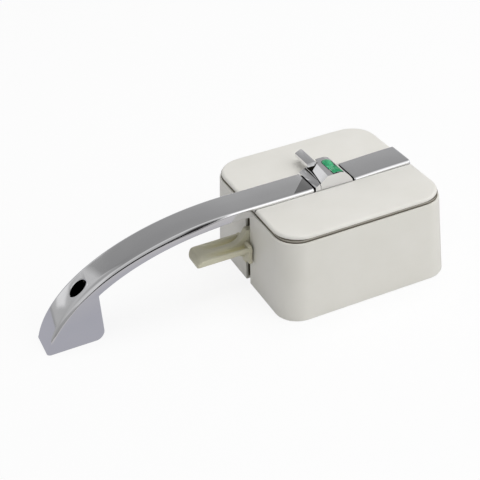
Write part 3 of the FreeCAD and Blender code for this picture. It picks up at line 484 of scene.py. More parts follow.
def blendEdge(first, second, value, low, high):
    smooth = smoothStep(value, low, high)
    return tuple(a + (b - a) * smooth for a, b in zip(first, second))


def frontEdgeAt(share):
    size = stripSizes
    if share < size["edgeShrinks"]:
        return blendEdge(size["edge"], size["archEdge"], share, 0.0, size["edgeGrown"])
    return blendEdge(size["archEdge"], size["footEndEdge"], share, size["edgeShrinks"], 1.0)


def boreChamfer():
    size = stripSizes
    rings = []
    for wider, lift in size["boreRound"]:
        radius = size["footBore"] + wider
        ring = []
        for step in range(64):
            turn = 2 * math.pi * step / 64
            x = size["footScrew"] + radius * math.cos(turn)
            across = (size["archStart"] - x) / size["archReach"]
            surface = size["top"] - size["archDrop"] + size["archDrop"] * math.sqrt(1 - across * across)
            ring.append((x, radius * math.sin(turn), surface + lift))
        rings.append(ring)
    return ringLoft(rings)


def makeHandle():
    size = stripSizes
    rings = []
    soft = size["endRound"]
    edge = size["edge"]
    for inset, back in quarterRound(soft, 3):
        x = size["right"] - back
        rings.append(barSection((x, size["top"] - inset), (x, size["bottom"] + inset), inset, edge, edge))
    for step in range(1, size["barSteps"]):
        x = size["right"] + (size["archStart"] - size["right"]) * step / size["barSteps"]
        rings.append(barSection((x, size["top"]), (x, size["bottom"]), 0, edge, edge))
    drop = size["archDrop"]
    steps = size["pathSteps"]
    turn = math.acos((drop - size["top"]) / drop)
    outerPath = [archPoint(size["archReach"], drop, turn * step / steps) for step in range(steps + 1)]
    inner = innerPath()
    stations = size["stations"]
    for step in range(stations):
        share = step / (stations - 1)
        outerPoint = pathAt(outerPath, share)
        innerPoint = pathAt(inner, share ** size["footShift"])
        if step == stations - 1:
            outerPoint = (outerPoint[0], soft)
            innerPoint = (innerPoint[0], soft)
        rings.append(barSection(outerPoint, innerPoint, 0, frontEdgeAt(share), edge))
    frontEdge = size["footEndEdge"]
    for z, inset in quarterRound(soft, 3)[1:]:
        outerEnd = (outerPath[-1][0] + inset, z)
        innerEnd = (inner[-1][0] - inset, z)
        rings.append(barSection(outerEnd, innerEnd, inset, frontEdge, edge))
    bar = ringLoft(rings)
    cutOut(bar, [post(size["footScrew"], 0, size["footBore"], size["footSeat"], beyond, 64),
                 post(size["footScrew"], 0, size["footHole"], -1, beyond, 48), footCorner()])
    cutOut(bar, [boreChamfer()])
    return finished(bar, "grabHandle", 32)


trimSizes = {
    "left": 12.4,
    "right": 48.9,
    "bottom": 50.35,
    "leftTop": 53.45,
    "rightTop": 54.4,
    "endRound": 0.7,
    "startRound": [(0, 0.25), (0.1, 0.05), (0.3, 0)],
    "lowEdge": 0.8,
    "roundShare": 0.7,
    "steps": 24,
}


def makeTrim():
    size = trimSizes
    rings = []
    span = size["right"] - size["left"]
    steps = size["steps"]
    stops = size["startRound"] + [(span * step / steps, 0) for step in range(1, steps)]
    stops += [(span - back, inset) for back, inset in quarterRound(size["endRound"], 6)]
    width, height, rounding = stripSizes["edge"]
    rise = size["rightTop"] - size["leftTop"]
    for along, inset in stops:
        top = size["leftTop"] + rise * math.sin(math.pi / 2 * min(1.0, along / span)) - inset
        x = size["left"] + along
        edge = (width, min(height, top - size["bottom"] - size["lowEdge"]), rounding * size["roundShare"])
        rings.append(barSection((x, top), (x, size["bottom"]), min(inset, 0.3), edge, edge))
    strip = ringLoft(rings)
    return finished(strip, "trimStrip", 32)


blockSizes = {
    "left": -12.1,
    "right": 11.2,
    "half": 10.0,
    "bottom": 48.2,
    "deck": 53.0,
    "rampTop": 56.7,
    "rampRight": -8.9,
    "hoodTop": 60.0,
    "ridge": -4.4,
    "flatEnd": 3.0,
    "shoulder": 6.2,
    "shoulderTop": 59.0,
    "footTop": 53.1,
    "wall": 1.5,
    "hoodLean": 0.17,
    "ridgeLean": 0.07,
    "slit": 0.4,
    "pocketRadius": 3.25,
    "pocketTop": 59.3,
    "pocketLeft": -6.6,
    "pocketBack": 7.6,
    "crestLean": 0.07,
    "slitEnd": -1.5,
    "slitDepth": 1.6,
    "spindleHole": 2.05,
    "bushHole": 3.62,
    "lensGap": 0.1,
    "crestStep": 0.2,
    "hoodGap": 0.1,
    "armGap": 0.35,
    "baseRound": 0.16,
    "hoodRound": 0.25,
    "hoodSteps": 12,
    "shoulderReach": 1.6,
    "shoulderDrop": 0.4,
}

lensSizes = {
    "left": -0.6,
    "right": 5.8,
    "front": -9.3,
    "back": 6.3,
    "backRound": 2.0,
    "bottom": 46.1,
    "proud": 0.35,
    "fall": 1.35,
    "edgeRound": 0.3,
    "cutReach": 20.0,
}

snibSizes = {
    "x": -4.8,
    "y": 8.0,
    "boss": 2.85,
    "bottom": 57.0,
    "top": 59.0,
    "armLeft": -7.6,
    "armRight": -2.0,
    "tipLeft": 23.8,
    "tipRight": 26.7,
    "slopeFoot": 7.4,
    "slopeTop": 9.3,
    "endHeight": 57.15,
    "edgeRound": 0.3,
    "bossHeight": 0.35,
    "spindle": 1.95,
}


def lensOutline(grow):
    size = lensSizes
    left = size["left"] - grow
    right = size["right"] + grow
    front = size["front"] - grow
    back = size["back"] + grow
    corners = [(left, front), (right, front), (right, back), (left, back)]
    return roundedOutline(corners, [0, 0, size["backRound"], size["backRound"]], 6)


def hoodLeftAt(y):
    start = blockSizes["rampRight"] - blockSizes["hoodGap"]
    return start + (y + blockSizes["half"]) * blockSizes["hoodLean"]


def crestAt(y):
    return blockSizes["rampRight"] + (y + blockSizes["half"]) * blockSizes["crestLean"]


def rampOutline(y):
    size = blockSizes
    left = size["left"]
    right = size["right"]
    crest = crestAt(y)
    step = crest + size["crestStep"]
    corners = [(left, size["bottom"]), (right, size["bottom"]), (right, size["deck"]), (step, size["deck"]),
               (step, size["rampTop"]), (crest, size["rampTop"]), (left, stripSizes["top"])]
    return [(x, y, z) for x, z in corners]


def makeBlockBase():
    size = blockSizes
    half = size["half"]
    deck = size["deck"]
    low = size["bottom"] - 1
    rampTop = size["rampTop"]
    x = snibSizes["x"]
    y = snibSizes["y"]
    boss = snibSizes["boss"]
    base = ringLoft([rampOutline(-half), rampOutline(half)])
    island = block(crestAt(0), x + boss, y - boss - 0.2, half - hair, deck - 1, rampTop - hair)
    plateau = prism([(crestAt(-half) + 0.1, hair - half), (hoodLeftAt(-half) + 0.05, hair - half),
                     (hoodLeftAt(half), half - 2 * hair), (crestAt(half) + 0.1, half - 2 * hair)],
                    deck - 1, rampTop - 2 * hair, "z")
    cutOut(base, [plateau, island], "UNION")
    end = size["slitEnd"]
    front = -half - 0.1
    slit = [(hoodLeftAt(front) - size["slit"], front), (hoodLeftAt(front) + 0.4, front),
            (hoodLeftAt(end) + 0.4, end), (crestAt(end) + 0.25, end)]
    cutOut(base, [prism(lensOutline(size["lensGap"]), low, deck + 1, "z"),
                  post(x, y, size["spindleHole"], low, rampTop + 1),
                  post(x, y, size["bushHole"], low, deck - 1.5),
                  prism(slit, rampTop - size["slitDepth"], rampTop + 1, "z")])
    softenEdges(base, size["baseRound"], 3, 20)
    return finished(base, "indicatorBase", 40)


def hoodOutline(sink, y):
    size = blockSizes
    left = hoodLeftAt(y) + sink
    right = size["right"] - sink
    top = size["hoodTop"] - sink
    ridge = size["ridge"] + (y + size["half"]) * size["ridgeLean"] + sink * 0.7
    low = size["deck"] - (1 if sink else 0)
    outline = [(left, low), (left, size["rampTop"] - 0.4 + sink * 0.2), (ridge, top),
               (size["flatEnd"] - sink * 0.2, top)]
    start = Vector(outline[-1])
    control = Vector((size["shoulder"] + size["shoulderReach"] - sink * 0.6, top - size["shoulderDrop"]))
    end = Vector((right, size["footTop"]))
    for step in range(1, 11):
        share = step / 10
        point = start * (1 - share) ** 2 + control * 2 * share * (1 - share) + end * share ** 2
        outline.append((point.x, point.y))
    outline.append((right, low))
    return [(x, y, z) for x, z in outline]


def makeHood():
    size = blockSizes
    half = size["half"]
    wall = size["wall"]
    steps = size["hoodSteps"]
    rampTop = size["rampTop"]
    top = size["hoodTop"]
    radius = size["pocketRadius"]
    x = snibSizes["x"]
    y = snibSizes["y"]
    boss = snibSizes["boss"]
    hood = ringLoft([hoodOutline(0, half * (2 * step / steps - 1)) for step in range(steps + 1)])
    cutOut(hood, [
        ringLoft([hoodOutline(wall, wall - half), hoodOutline(wall, half - wall)]),
        prism(lensOutline(size["lensGap"]), size["deck"], top + 2, "z"),
        post(x, y, radius, rampTop, top + 1, 64),
        block(-beyond, x, y - radius, beyond, rampTop + hair, top + 1.1),
        block(x - 0.1, snibSizes["armRight"] + size["armGap"], y + 0.1, beyond, rampTop - hair, top + 1.2),
        block(size["rampRight"] - 0.7, x + boss + 0.1, y - boss - 0.3, half + 0.1, size["deck"] - 0.2,
              rampTop + 0.1),
    ])
    softenEdges(hood, size["hoodRound"], 3, 28)
    finished(hood, "indicatorHood", 30)
    weightNormals(hood)
    return hood


def makeLens():
    size = lensSizes
    hood = blockSizes
    top = hood["hoodTop"] + size["proud"]
    lens = prism(lensOutline(0), size["bottom"] - 1, top, "z")
    slope = (hood["hoodTop"] - hood["shoulderTop"]) / (hood["shoulder"] - hood["flatEnd"])
    fall = slope * (size["right"] - hood["flatEnd"]) * size["fall"]
    left = size["left"] - 1
    right = size["right"] + 1
    reach = size["cutReach"]
    cutOut(lens, [prism([(hood["flatEnd"], top), (right, top - fall), (right, top + 2), (left, top + 2),
                         (left, top)], -reach, reach, "y")])
    softenEdges(lens, size["edgeRound"], 3, 50)
    cutOut(lens, [block(-reach, reach, -reach, reach, 0, size["bottom"])])
    return finished(lens, "indicatorLens", 40)


def makeSnib():
    size = snibSizes
    left = size["armLeft"]
    right = size["armRight"]
    bottom = size["bottom"]
    top = size["top"]
    foot = size["slopeFoot"]
    corners = [(left, foot), (right, foot), (right, size["tipRight"]), (left, size["tipLeft"])]
    arm = prism(roundedOutline(corners, [0, 0, 0.8, 1.0]), bottom, top, "z")
    slope = [(foot - 1, size["endHeight"]), (foot, size["endHeight"]), (size["slopeTop"], top),
             (size["slopeTop"], top + 1), (foot - 1, top + 1)]
    cutOut(arm, [prism(slope, -beyond, beyond, "x")])
    softenEdges(arm, size["edgeRound"], 3, 40)
    hub = post(size["x"], size["y"], size["boss"], bottom, bottom + size["bossHeight"], 64)
    softenEdges(hub, 0.1, 2, 40)
    joinInto(arm, [hub])
    return finished(arm, "snibLever", 40)


# The spindle ends under the arm's sloped end, where the CAD's longer one would show.
def makeSpindle():
    size = snibSizes
    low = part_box("snib_spindle")[0][2] / mm
    high = size["endHeight"]
    radius = size["spindle"]
    levels = [(radius - 0.3, low), (radius, low + 0.3), (radius, high - 0.3), (radius - 0.2, high - 0.1)]
    rings = [[(x, y, z) for x, y in circle(size["x"], size["y"], wide, 40)] for wide, z in levels]
    spindle = ringLoft(rings)
    return finished(spindle, "snibSpindle", 40)


leverSizes = {
    "root": -52.4,
    "tip": -85.3,
    "front": -9.7,
    "back": 7.2,
    "bottom": 25.3,
    "top": 28.8,
    "frontRadius": 1.2,
    "backRadius": 5.0,
    "noseStart": -82.4,
    "noseDrop": 2.0,
    "noseRound": 0.35,
    "middle": -1.25,
    "troughOffset": 4.1,
    "troughHalf": 3.0,
    "troughFlat": 0.3,
    "troughDepth": 2.5,
    "troughStart": -80.0,
    "troughEnd": -53.9,
    "frontFall": 0.8,
    "fallStart": 4.0,
    "edgeSoft": 0.45,
    "flangeLeft": -54.7,
    "flangeLow": 17.6,
    "flangeHigh": 29.3,
    "webHalf": 2.3,
    "webStart": -65.0,
    "webTop": 36.2,
    "webFoot": 14.8,
    "webCurve": 2.8,
    "webBack": [(-41.0, 35.6), (-37.5, 29.0), (-48.0, 23.4)],
    "webUnder": -66.0,
    "flangeRound": 0.5,
    "webRound": 0.45,
    "hubRound": 0.3,
    "hinge": (-42.0, 32.0),
    "pinRadius": 2.05,
    "hubRadius": 5.4,
    "hubFront": -5.5,
    "hubBack": 3.0,
    "rows": 60,
    "columns": 72,
}


def sideAt(x, edge, radius):
    size = leverSizes
    fromTip = x - size["tip"]
    reach = abs(edge - size["middle"])
    if fromTip < radius:
        reach -= radius - math.sqrt(max(0.0, radius ** 2 - (radius - fromTip) ** 2))
    return size["middle"] + math.copysign(reach, edge - size["middle"])


def troughDrop(x, y):
    size = leverSizes
    start = size["troughStart"]
    along = max(0.0, min(1.0, (x - start) / (size["troughEnd"] - start)))
    across = abs(abs(y - size["middle"]) - size["troughOffset"]) / size["troughHalf"]
    depth = size["troughDepth"] * math.sin(math.pi / 2 * along)
    return depth * (1 - smoothStep(across, size["troughFlat"], 1.0))


def leverHeight(x, y):
    size = leverSizes
    height = size["top"]
    if x < size["noseStart"]:
        share = (size["noseStart"] - x) / (size["noseStart"] - size["tip"])
        height -= size["noseDrop"] * share ** (1 + size["noseRound"])
    toRoot = (x - size["tip"]) / (size["root"] - size["tip"])
    height -= size["frontFall"] * toRoot * smoothStep(-y, size["fallStart"], -size["front"])
    return height - troughDrop(x, y)


def makeLeverSlab():
    size = leverSizes
    rows = size["rows"]
    columns = size["columns"]
    soft = size["edgeSoft"]
    bottom = size["bottom"]
    rings = []
    for row in range(rows + 1):
        x = size["tip"] + (size["root"] - size["tip"]) * (row / rows) ** 1.5
        front = sideAt(x, size["front"], size["frontRadius"])
        back = sideAt(x, size["back"], size["backRadius"])
        ring = []
        for column in range(columns + 1):
            y = front + (back - front) * column / columns
            near = min(soft, y - front, back - y)
            drop = soft - math.sqrt(max(0.0, soft ** 2 - (soft - near) ** 2))
            ring.append((x, y, leverHeight(x, y) - drop))
        for y, lift in ((back, 0.3), (back - 0.3, 0), (front + 0.3, 0), (front, 0.3)):
            ring.append((x, y, bottom + lift))
        rings.append(ring)
    return ringLoft(rings)


def makeLeverWeb():
    size = leverSizes
    start = size["webStart"]
    foot = size["webFoot"]
    low = size["top"] - 0.5
    heel = size["flangeLeft"] + 0.4
    outline = [(start, low)]
    for step in range(1, 13):
        share = step / 12
        rise = (size["webTop"] - low) * share ** size["webCurve"]
        outline.append((start + (size["root"] - start) * share, low + rise))
    outline += size["webBack"]
    outline += [(size["root"], foot), (heel, foot), (heel, size["flangeLow"] + 1),
                (size["webUnder"], size["bottom"] + 0.4)]
    web = prism(outline, size["middle"] - size["webHalf"], size["middle"] + size["webHalf"], "y")
    cutOut(web, [post(*size["hinge"], size["pinRadius"], -beyond, beyond, along="y")])
    softenEdges(web, size["webRound"], 3, 50)
    return web


def makeReleaseLever():
    size = leverSizes
    slab = makeLeverSlab()
    left = size["flangeLeft"]
    flange = block(left, size["root"], size["front"] + 0.1, size["back"], size["flangeLow"],
                   size["flangeHigh"])
    softenEdges(flange, size["flangeRound"], 3)
    hub = post(*size["hinge"], size["hubRadius"], size["hubFront"], size["hubBack"], 48, "y")
    cutOut(hub, [post(*size["hinge"], size["pinRadius"], -beyond, beyond, along="y")])
    softenEdges(hub, size["hubRound"], 2)
    joinInto(slab, [flange, makeLeverWeb(), hub])
    # The scoops' depth is kept on the mesh, for the painted shade in them.
    shade = slab.data.attributes.new("trough", "FLOAT", "POINT")
    for vertex, entry in zip(slab.data.vertices, shade.data):
        x, y, z = vertex.co / mm
        if x < left and abs(z - leverHeight(x, y)) < 0.02:
            entry.value = troughDrop(x, y) / size["troughDepth"]
    return finished(slab, "releaseLever", 35)


def setInputs(tree, node, values):
    for socket, value in values.items():
        if isinstance(value, bpy.types.NodeSocket):
            tree.links.new(value, node.inputs[socket])
        else:
            node.inputs[socket].default_value = value
    return node.outputs


def addNode(tree, kind, values=None, **settings):
    node = tree.nodes.new(kind)
    for name, value in settings.items():
        setattr(node, name, value)
    return setInputs(tree, node, values or {})


def nodeMath(tree, operation, *values):
    return addNode(tree, "ShaderNodeMath", dict(enumerate(values)), operation=operation)[0]


def rangeNode(tree, source, low, high, fromLow=0.3, fromHigh=0.7):
    limits = {"From Min": fromLow, "From Max": fromHigh, "To Min": low, "To Max": high}
    return addNode(tree, "ShaderNodeMapRange", {"Value": source, **limits})["Result"]


def newNodeTree(name, inputs):
    tree = bpy.data.node_groups.new(name, "GeometryNodeTree")
    shared = [("Place", "Vector"), ("Turn", "Vector"), ("Material", "Material")]
    for inputName, kind in [("Geometry", "Geometry"), *inputs, *shared]:
        tree.interface.new_socket(inputName, in_out="INPUT", socket_type="NodeSocket" + kind)
    tree.interface.new_socket("Geometry", in_out="OUTPUT", socket_type="NodeSocketGeometry")
    return tree, addNode(tree, "NodeGroupInput")


def finishNodeTree(tree, inputs, geometry):
    moved = addNode(tree, "GeometryNodeTransform",
                    {"Geometry": geometry, "Translation": inputs["Place"], "Rotation": inputs["Turn"]})
    real = addNode(tree, "GeometryNodeRealizeInstances", {"Geometry": moved[0]})
    finish = addNode(tree, "GeometryNodeSetMaterial", {"Geometry": real[0], "Material": inputs["Material"]})
    addNode(tree, "NodeGroupOutput", {"Geometry": finish[0]})


def wireMesh(tree, curve, wire):
    section = addNode(tree, "GeometryNodeCurvePrimitiveCircle",
                      {"Resolution": 12, "Radius": nodeMath(tree, "MULTIPLY", wire, 0.5)})
    return addNode(tree, "GeometryNodeCurveToMesh",
                   {"Fill Caps": True, "Curve": curve, "Profile Curve": section[0]})[0]


def coilTree(hasLeg):
    names = ("Radius", "Wire", "Length", "Turns", "Flat Share", "Leg")
    tree, inputs = newNodeTree("coil", [(name, "Float") for name in names])
    half = nodeMath(tree, "MULTIPLY", inputs["Wire"], 0.5)
    radius = nodeMath(tree, "SUBTRACT", inputs["Radius"], half)
    last = nodeMath(tree, "SUBTRACT", inputs["Length"], half)
    spiral = addNode(tree, "GeometryNodeCurveSpiral",
                     {"Resolution": 36, "Rotations": inputs["Turns"], "Start Radius": radius,
                      "End Radius": radius, "Height": inputs["Length"]})
    along = addNode(tree, "GeometryNodeSplineParameter")["Factor"]
    flatFrom = nodeMath(tree, "SUBTRACT", 1, inputs["Flat Share"])
    height = rangeNode(tree, along, half, last, inputs["Flat Share"], flatFrom)
    position = addNode(tree, "GeometryNodeInputPosition")
    split = addNode(tree, "ShaderNodeSeparateXYZ", {"Vector": position[0]})
    flat = addNode(tree, "ShaderNodeCombineXYZ", {"X": split["X"], "Y": split["Y"], "Z": height})
    shaped = addNode(tree, "GeometryNodeSetPosition", {"Geometry": spiral[0], "Position": flat[0]})
    mesh = wireMesh(tree, shaped[0], inputs["Wire"])
    if hasLeg:
        ends = []
        for reach in (0, -1):
            away = nodeMath(tree, "MULTIPLY", inputs["Leg"], reach)
            ends.append(addNode(tree, "ShaderNodeCombineXYZ", {"X": away, "Y": radius, "Z": last})[0])
        leg = addNode(tree, "GeometryNodeCurvePrimitiveLine", {"Start": ends[0], "End": ends[1]})
        whole = tree.nodes.new("GeometryNodeJoinGeometry")
        for part in (wireMesh(tree, leg[0], inputs["Wire"]), mesh):
            tree.links.new(part, whole.inputs["Geometry"])
        mesh = whole.outputs["Geometry"]
    finishNodeTree(tree, inputs, mesh)
    return tree


def grownPiece(name, tree, values, stand):
    obj = newObject(name, bpy.data.meshes.new(name))
    modifier = obj.modifiers.new("grow", "NODES")
    modifier.node_group = tree
    values = {**values, "Place": tuple(stand.to_translation()), "Turn": tuple(stand.to_euler())}
    for item in tree.interface.items_tree:
        if item.in_out == "INPUT" and item.name in values:
            modifier[item.identifier] = values[item.name]
    applyModifiers(obj)
    outwardNormals(obj)
    return finished(obj, name, 40)


boltSpringSizes = {
    "radius": 3.3,
    "wire": 0.8,
    "start": 5.5,
    "end": 29.0,
    "y": -2.0,
    "z": 25.5,
    "turns": 9.0,
    "flatTurns": 0.9,
    "travel": 9.0,
}

carriageSpringSizes = {
    "radius": 3.0,
    "wire": 0.8,
    "start": -28.5,
    "end": -9.0,
    "y": 20.0,
    "z": 11.0,
    "turns": 8.0,
    "flatTurns": 0.9,
    "travel": 8.7,
}

leverSpringSizes = {
    "radius": 4.6,
    "wire": 1.1,
    "front": 3.2,
    "back": 6.9,
    "x": -42.0,
    "z": 32.0,
    "turns": 2.25,
    "legEnd": -28.5,
}


def springValues(size, length, flatShare, material):
    return {
        "Radius": size["radius"] * mm,
        "Wire": size["wire"] * mm,
        "Length": length * mm,
        "Turns": size["turns"],
        "Flat Share": flatShare,
        "Material": material,
    }


def makeSlidingSpring(name, size, material):
    values = springValues(size, size["end"] - size["start"], size["flatTurns"] / size["turns"], material)
    stand = spotAt(size["start"], size["y"], size["z"]) @ Matrix.Rotation(math.pi / 2, 4, "Y")
    return grownPiece(name, coilTree(False), values, stand)


def makeLeverSpring(material):
    size = leverSpringSizes
    values = springValues(size, size["back"] - size["front"], 0.0, material)
    values["Leg"] = (size["legEnd"] - size["x"]) * mm
    towardsBack = Matrix(((-1, 0, 0), (0, 0, 1), (0, 1, 0))).to_4x4()
    stand = spotAt(size["x"], size["front"], size["z"]) @ towardsBack
    return grownPiece("leverReturnSpring", coilTree(True), values, stand)


wallScrewSizes = {
    "headRadius": 2.15,
    "radius": 1.2,
    "depth": 3.2,
    "slotHalf": 0.3,
    "slotReach": 1.5,
    "slotDepth": 0.6,
    "spreadY": 23.2,
    "spreadZ": 18.0,
    "middle": 25.5,
    "proud": 0.9,
    "lean": 2.93,
    "seed": 5,
}


def screwShape():
    size = wallScrewSizes
    head = size["headRadius"]
    shank = size["radius"]
    depth = size["depth"]
    levels = [(shank - 0.2, -depth), (shank, 0.2 - depth), (shank, shank - head), (head, -0.05),
              (head - 0.05, 0)]
    screw = ringLoft([[(x, y, z) for x, y in circle(0, 0, radius, 40)] for radius, z in levels])
    reach = size["slotReach"]
    half = size["slotHalf"]
    cutOut(screw, [block(-reach, reach, -half, half, -size["slotDepth"], 1),
                   block(-half, half, -reach, reach, -size["slotDepth"], 1)])
    return screw


def screwTree():
    tree, inputs = newNodeTree("screws", [("Screw", "Object"), ("Spread Y", "Float"), ("Spread Z", "Float"),
                                          ("Seed", "Int")])
    grid = addNode(tree, "GeometryNodeMeshGrid",
                   {"Vertices X": 2, "Vertices Y": 2, "Size X": inputs["Spread Y"],
                    "Size Y": inputs["Spread Z"]})
    source = addNode(tree, "GeometryNodeObjectInfo", {"Object": inputs["Screw"]})
    limits = {0: (0, 0, 0), 1: (0, 0, math.pi / 2), "Seed": inputs["Seed"]}
    turned = addNode(tree, "FunctionNodeRandomValue", limits, data_type="FLOAT_VECTOR")
    rotation = addNode(tree, "FunctionNodeEulerToRotation", {"Euler": turned[0]})
    spread = addNode(tree, "GeometryNodeInstanceOnPoints",
                     {"Points": grid["Mesh"], "Instance": source["Geometry"], "Rotation": rotation[0]})
    finishNodeTree(tree, inputs, spread[0])
    return tree


def makeWallScrews(material):
    size = wallScrewSizes
    screw = screwShape()
    values = {"Screw": screw, "Spread Y": size["spreadY"] * mm, "Spread Z": size["spreadZ"] * mm,
              "Seed": size["seed"], "Material": material}
    towardsRight = Matrix(((0, 0, 1), (1, 0, 0), (0, 1, 0))).to_4x4()
    wall = spotAt(caseSizes["length"] / 2, 0, 0) @ Matrix.Rotation(math.radians(-size["lean"]), 4, "Y")
    stand = wall @ spotAt(size["proud"], 0, size["middle"]) @ towardsRight
    screws = grownPiece("wallScrews", screwTree(), values, stand)
    removeObject(screw)
    return screws


def newMaterial(name):
    material = bpy.data.materials.new(name)
    material.use_nodes = True
    return material, material.node_tree, material.node_tree.nodes["Principled BSDF"]


def linear(colour):
    shares = [value / 255 for value in colour]
    levels = [share / 12.92 if share <= 0.04045 else ((share + 0.055) / 1.055) ** 2.4 for share in shares]
    return (*levels, 1)


def noiseNode(tree, scale, detail, stretch=(1, 1, 1)):
    coordinates = addNode(tree, "ShaderNodeTexCoord")
    mapping = addNode(tree, "ShaderNodeMapping", {"Vector": coordinates["Object"], "Scale": stretch})
    values = {"Vector": mapping[0], "Scale": scale, "Detail": detail}
    return addNode(tree, "ShaderNodeTexNoise", values)["Fac"]


def colourMix(tree, factor, first, second):
    inputs = {0: factor, 6: first, 7: second}
    for socket in (6, 7):
        if isinstance(inputs[socket], tuple):
            inputs[socket] = linear(inputs[socket])
    return addNode(tree, "ShaderNodeMix", inputs, data_type="RGBA")[2]


def shaderMix(tree, factor, first, second):
    return addNode(tree, "ShaderNodeMixShader", {"Fac": factor, 1: first, 2: second})[0]


def bumpNode(tree, height, strength, distance):
    values = {"Strength": strength, "Distance": distance, "Height": height}
    return addNode(tree, "ShaderNodeBump", values)[0]


def rampNode(tree, source, stops):
    ramp = tree.nodes.new("ShaderNodeValToRGB")
    ramp.color_ramp.interpolation = "EASE"
    tree.links.new(source, ramp.inputs["Fac"])
    elements = ramp.color_ramp.elements
    while len(elements) < len(stops):
        elements.new(0.5)
    for element, (spot, colour) in zip(elements, stops):
        element.position = spot
        element.color = colour
    return ramp.outputs["Color"]


def axesOf(tree, space="Object"):
    coordinates = addNode(tree, "ShaderNodeTexCoord")
    return addNode(tree, "ShaderNodeSeparateXYZ", {"Vector": coordinates[space]})


def over(tree, value, low, high, unit=mm):
    return rangeNode(tree, value, 0, 1, low * unit, high * unit)


def under(tree, value, low, high, unit=mm):
    return rangeNode(tree, value, 1, 0, low * unit, high * unit)


def allOf(tree, *masks):
    result = masks[0]
    for mask in masks[1:]:
        result = nodeMath(tree, "MULTIPLY", result, mask)
    return result


def nearPost(tree, x, y, radius):
    coordinates = addNode(tree, "ShaderNodeTexCoord")
    values = {"Vector": coordinates["Object"], "Location": (-x * mm, -y * mm, 0), "Scale": (1, 1, 0)}
    flat = addNode(tree, "ShaderNodeMapping", values)[0]
    distance = addNode(tree, "ShaderNodeVectorMath", {0: flat}, operation="LENGTH")["Value"]
    return under(tree, distance, radius + 0.02, radius + 0.06)


# Painted shade inside the foot's bore, and a painted reflection: a dark triangle on the bar's top, left of
# the block.
def barShadeAndReflectionMask(tree):
    size = stripSizes
    axes = axesOf(tree)
    bore = nearPost(tree, size["footScrew"], 0, size["footBore"])
    slant = nodeMath(tree, "MULTIPLY", axes["Y"], size["paintedReflectionSlope"])
    lean = nodeMath(tree, "SUBTRACT", axes["X"], slant)
    start = size["paintedReflectionStart"]
    paintedReflection = rangeNode(tree, lean, 0, size["paintedReflectionShade"], (start - 0.1) * mm, (start + 0.1) * mm)
    onTop = over(tree, axes["Z"], size["top"] - 0.2, size["top"] - 0.15)
    onBar = under(tree, axes["X"], size["right"], size["right"] + 0.1)
    return nodeMath(tree, "MAXIMUM", bore, allOf(tree, paintedReflection, onTop, onBar))


# Painted shade: the snib's hub, low under its arm, is painted dark.
def hubShadeMask(tree):
    size = snibSizes
    top = size["bottom"] + 0.45
    return allOf(tree, nearPost(tree, size["x"], size["y"], size["boss"] + 0.1),
                 under(tree, axesOf(tree)["Z"], top, top + 0.05))


# Painted shade: the pocket round the snib's hub and the groove low on the hood's left side are painted dark.
def pocketShadeMask(tree):
    size = blockSizes
    axes = axesOf(tree)
    fromMiddle = nodeMath(tree, "ABSOLUTE", axes["Y"])
    grooveTop = size["rampTop"] - 0.2
    pocket = allOf(tree, nearPost(tree, snibSizes["x"], snibSizes["y"], size["pocketRadius"]),
                   under(tree, axes["Z"], size["pocketTop"], size["pocketTop"] + 0.05),
                   over(tree, axes["X"], size["pocketLeft"], size["pocketLeft"] + 0.05),
                   under(tree, axes["Y"], size["pocketBack"], size["pocketBack"] + 0.2))
    groove = allOf(tree, over(tree, axes["X"], size["rampRight"] - 0.05, size["rampRight"]),
                   under(tree, fromMiddle, size["half"] - 0.1, size["half"] - 0.05),
                   under(tree, axes["Z"], grooveTop, grooveTop + 0.05))
    return nodeMath(tree, "MAXIMUM", pocket, groove)


# Painted shade: the channel in the cover, under the strip and the block, is near black where little light
# reaches.
def channelShadeMask(tree):
    axes = axesOf(tree)
    edge = coverSizes["channelHalf"] + 0.03
    top = coverSizes["top"] - 0.5
    fromMiddle = nodeMath(tree, "ABSOLUTE", axes["Y"])
    return allOf(tree, under(tree, fromMiddle, edge, edge + 0.03),
                 under(tree, axes["Z"], top, top + 0.05))


# Painted shade: inside the case, where little light reaches, the end walls and floor are darker.
def insideShadeMask(tree):
    size = caseSizes
    axes = axesOf(tree)
    lean = nodeMath(tree, "MULTIPLY", axes["Z"], size["draftSlope"])
    alongX = nodeMath(tree, "ADD", nodeMath(tree, "ABSOLUTE", axes["X"]), lean)
    alongY = nodeMath(tree, "ABSOLUTE", axes["Y"])
    edgeX = size["length"] / 2 - size["wall"] * 0.55
    edgeY = size["width"] / 2 - size["cornerRadius"] - 5
    low = size["floor"] / 2
    soft = 0.3
    return allOf(tree, under(tree, alongX, edgeX, edgeX + soft), under(tree, alongY, edgeY, edgeY + soft),
                 over(tree, axes["Z"], low, low + soft))


# Painted shade: the lever's scoops grow darker and yellower with their depth.
def troughShadeMask(tree):
    shade = addNode(tree, "ShaderNodeAttribute", attribute_name="trough")
    return rangeNode(tree, shade["Fac"], 0, 0.8, 0.05, 0.9)


finishValues = {
    "cloudScale": 45,
    "grainScale": 1400,
    "plasticGrain": 0.12,
    "plasticDepth": 0.00006,
    "plasticShine": 0.45,
    # The flags glow as painted light.
    "flagPaintedGlow": 0.5,
    "metalCloudScale": 60,
    "metalDepth": 0.00003,
    "chromeColours": ((236, 236, 238), (241, 241, 242)),
    "chromeRoughness": (0.04, 0.11),
    "waveScale": 38,
    "waveDepth": 0.0006,
    "waviness": {"chrome": 0.35, "chromeBlock": 0.08, "chromeSnib": 0.1},
    "lensColour": (244, 250, 247),
    "lensIndex": 1.45,
}

# Painted shade: the seal is dark along its top, in the shadow under the cover's edge, and along its bottom,
# in the gap above the case's rim; its middle band is lighter.
sealShadeStops = [
    (0.0, (98, 92, 80)),
    (0.24, (104, 97, 86)),
    (0.34, (182, 178, 166)),
    (0.68, (196, 192, 182)),
    (0.8, (100, 94, 82)),
]


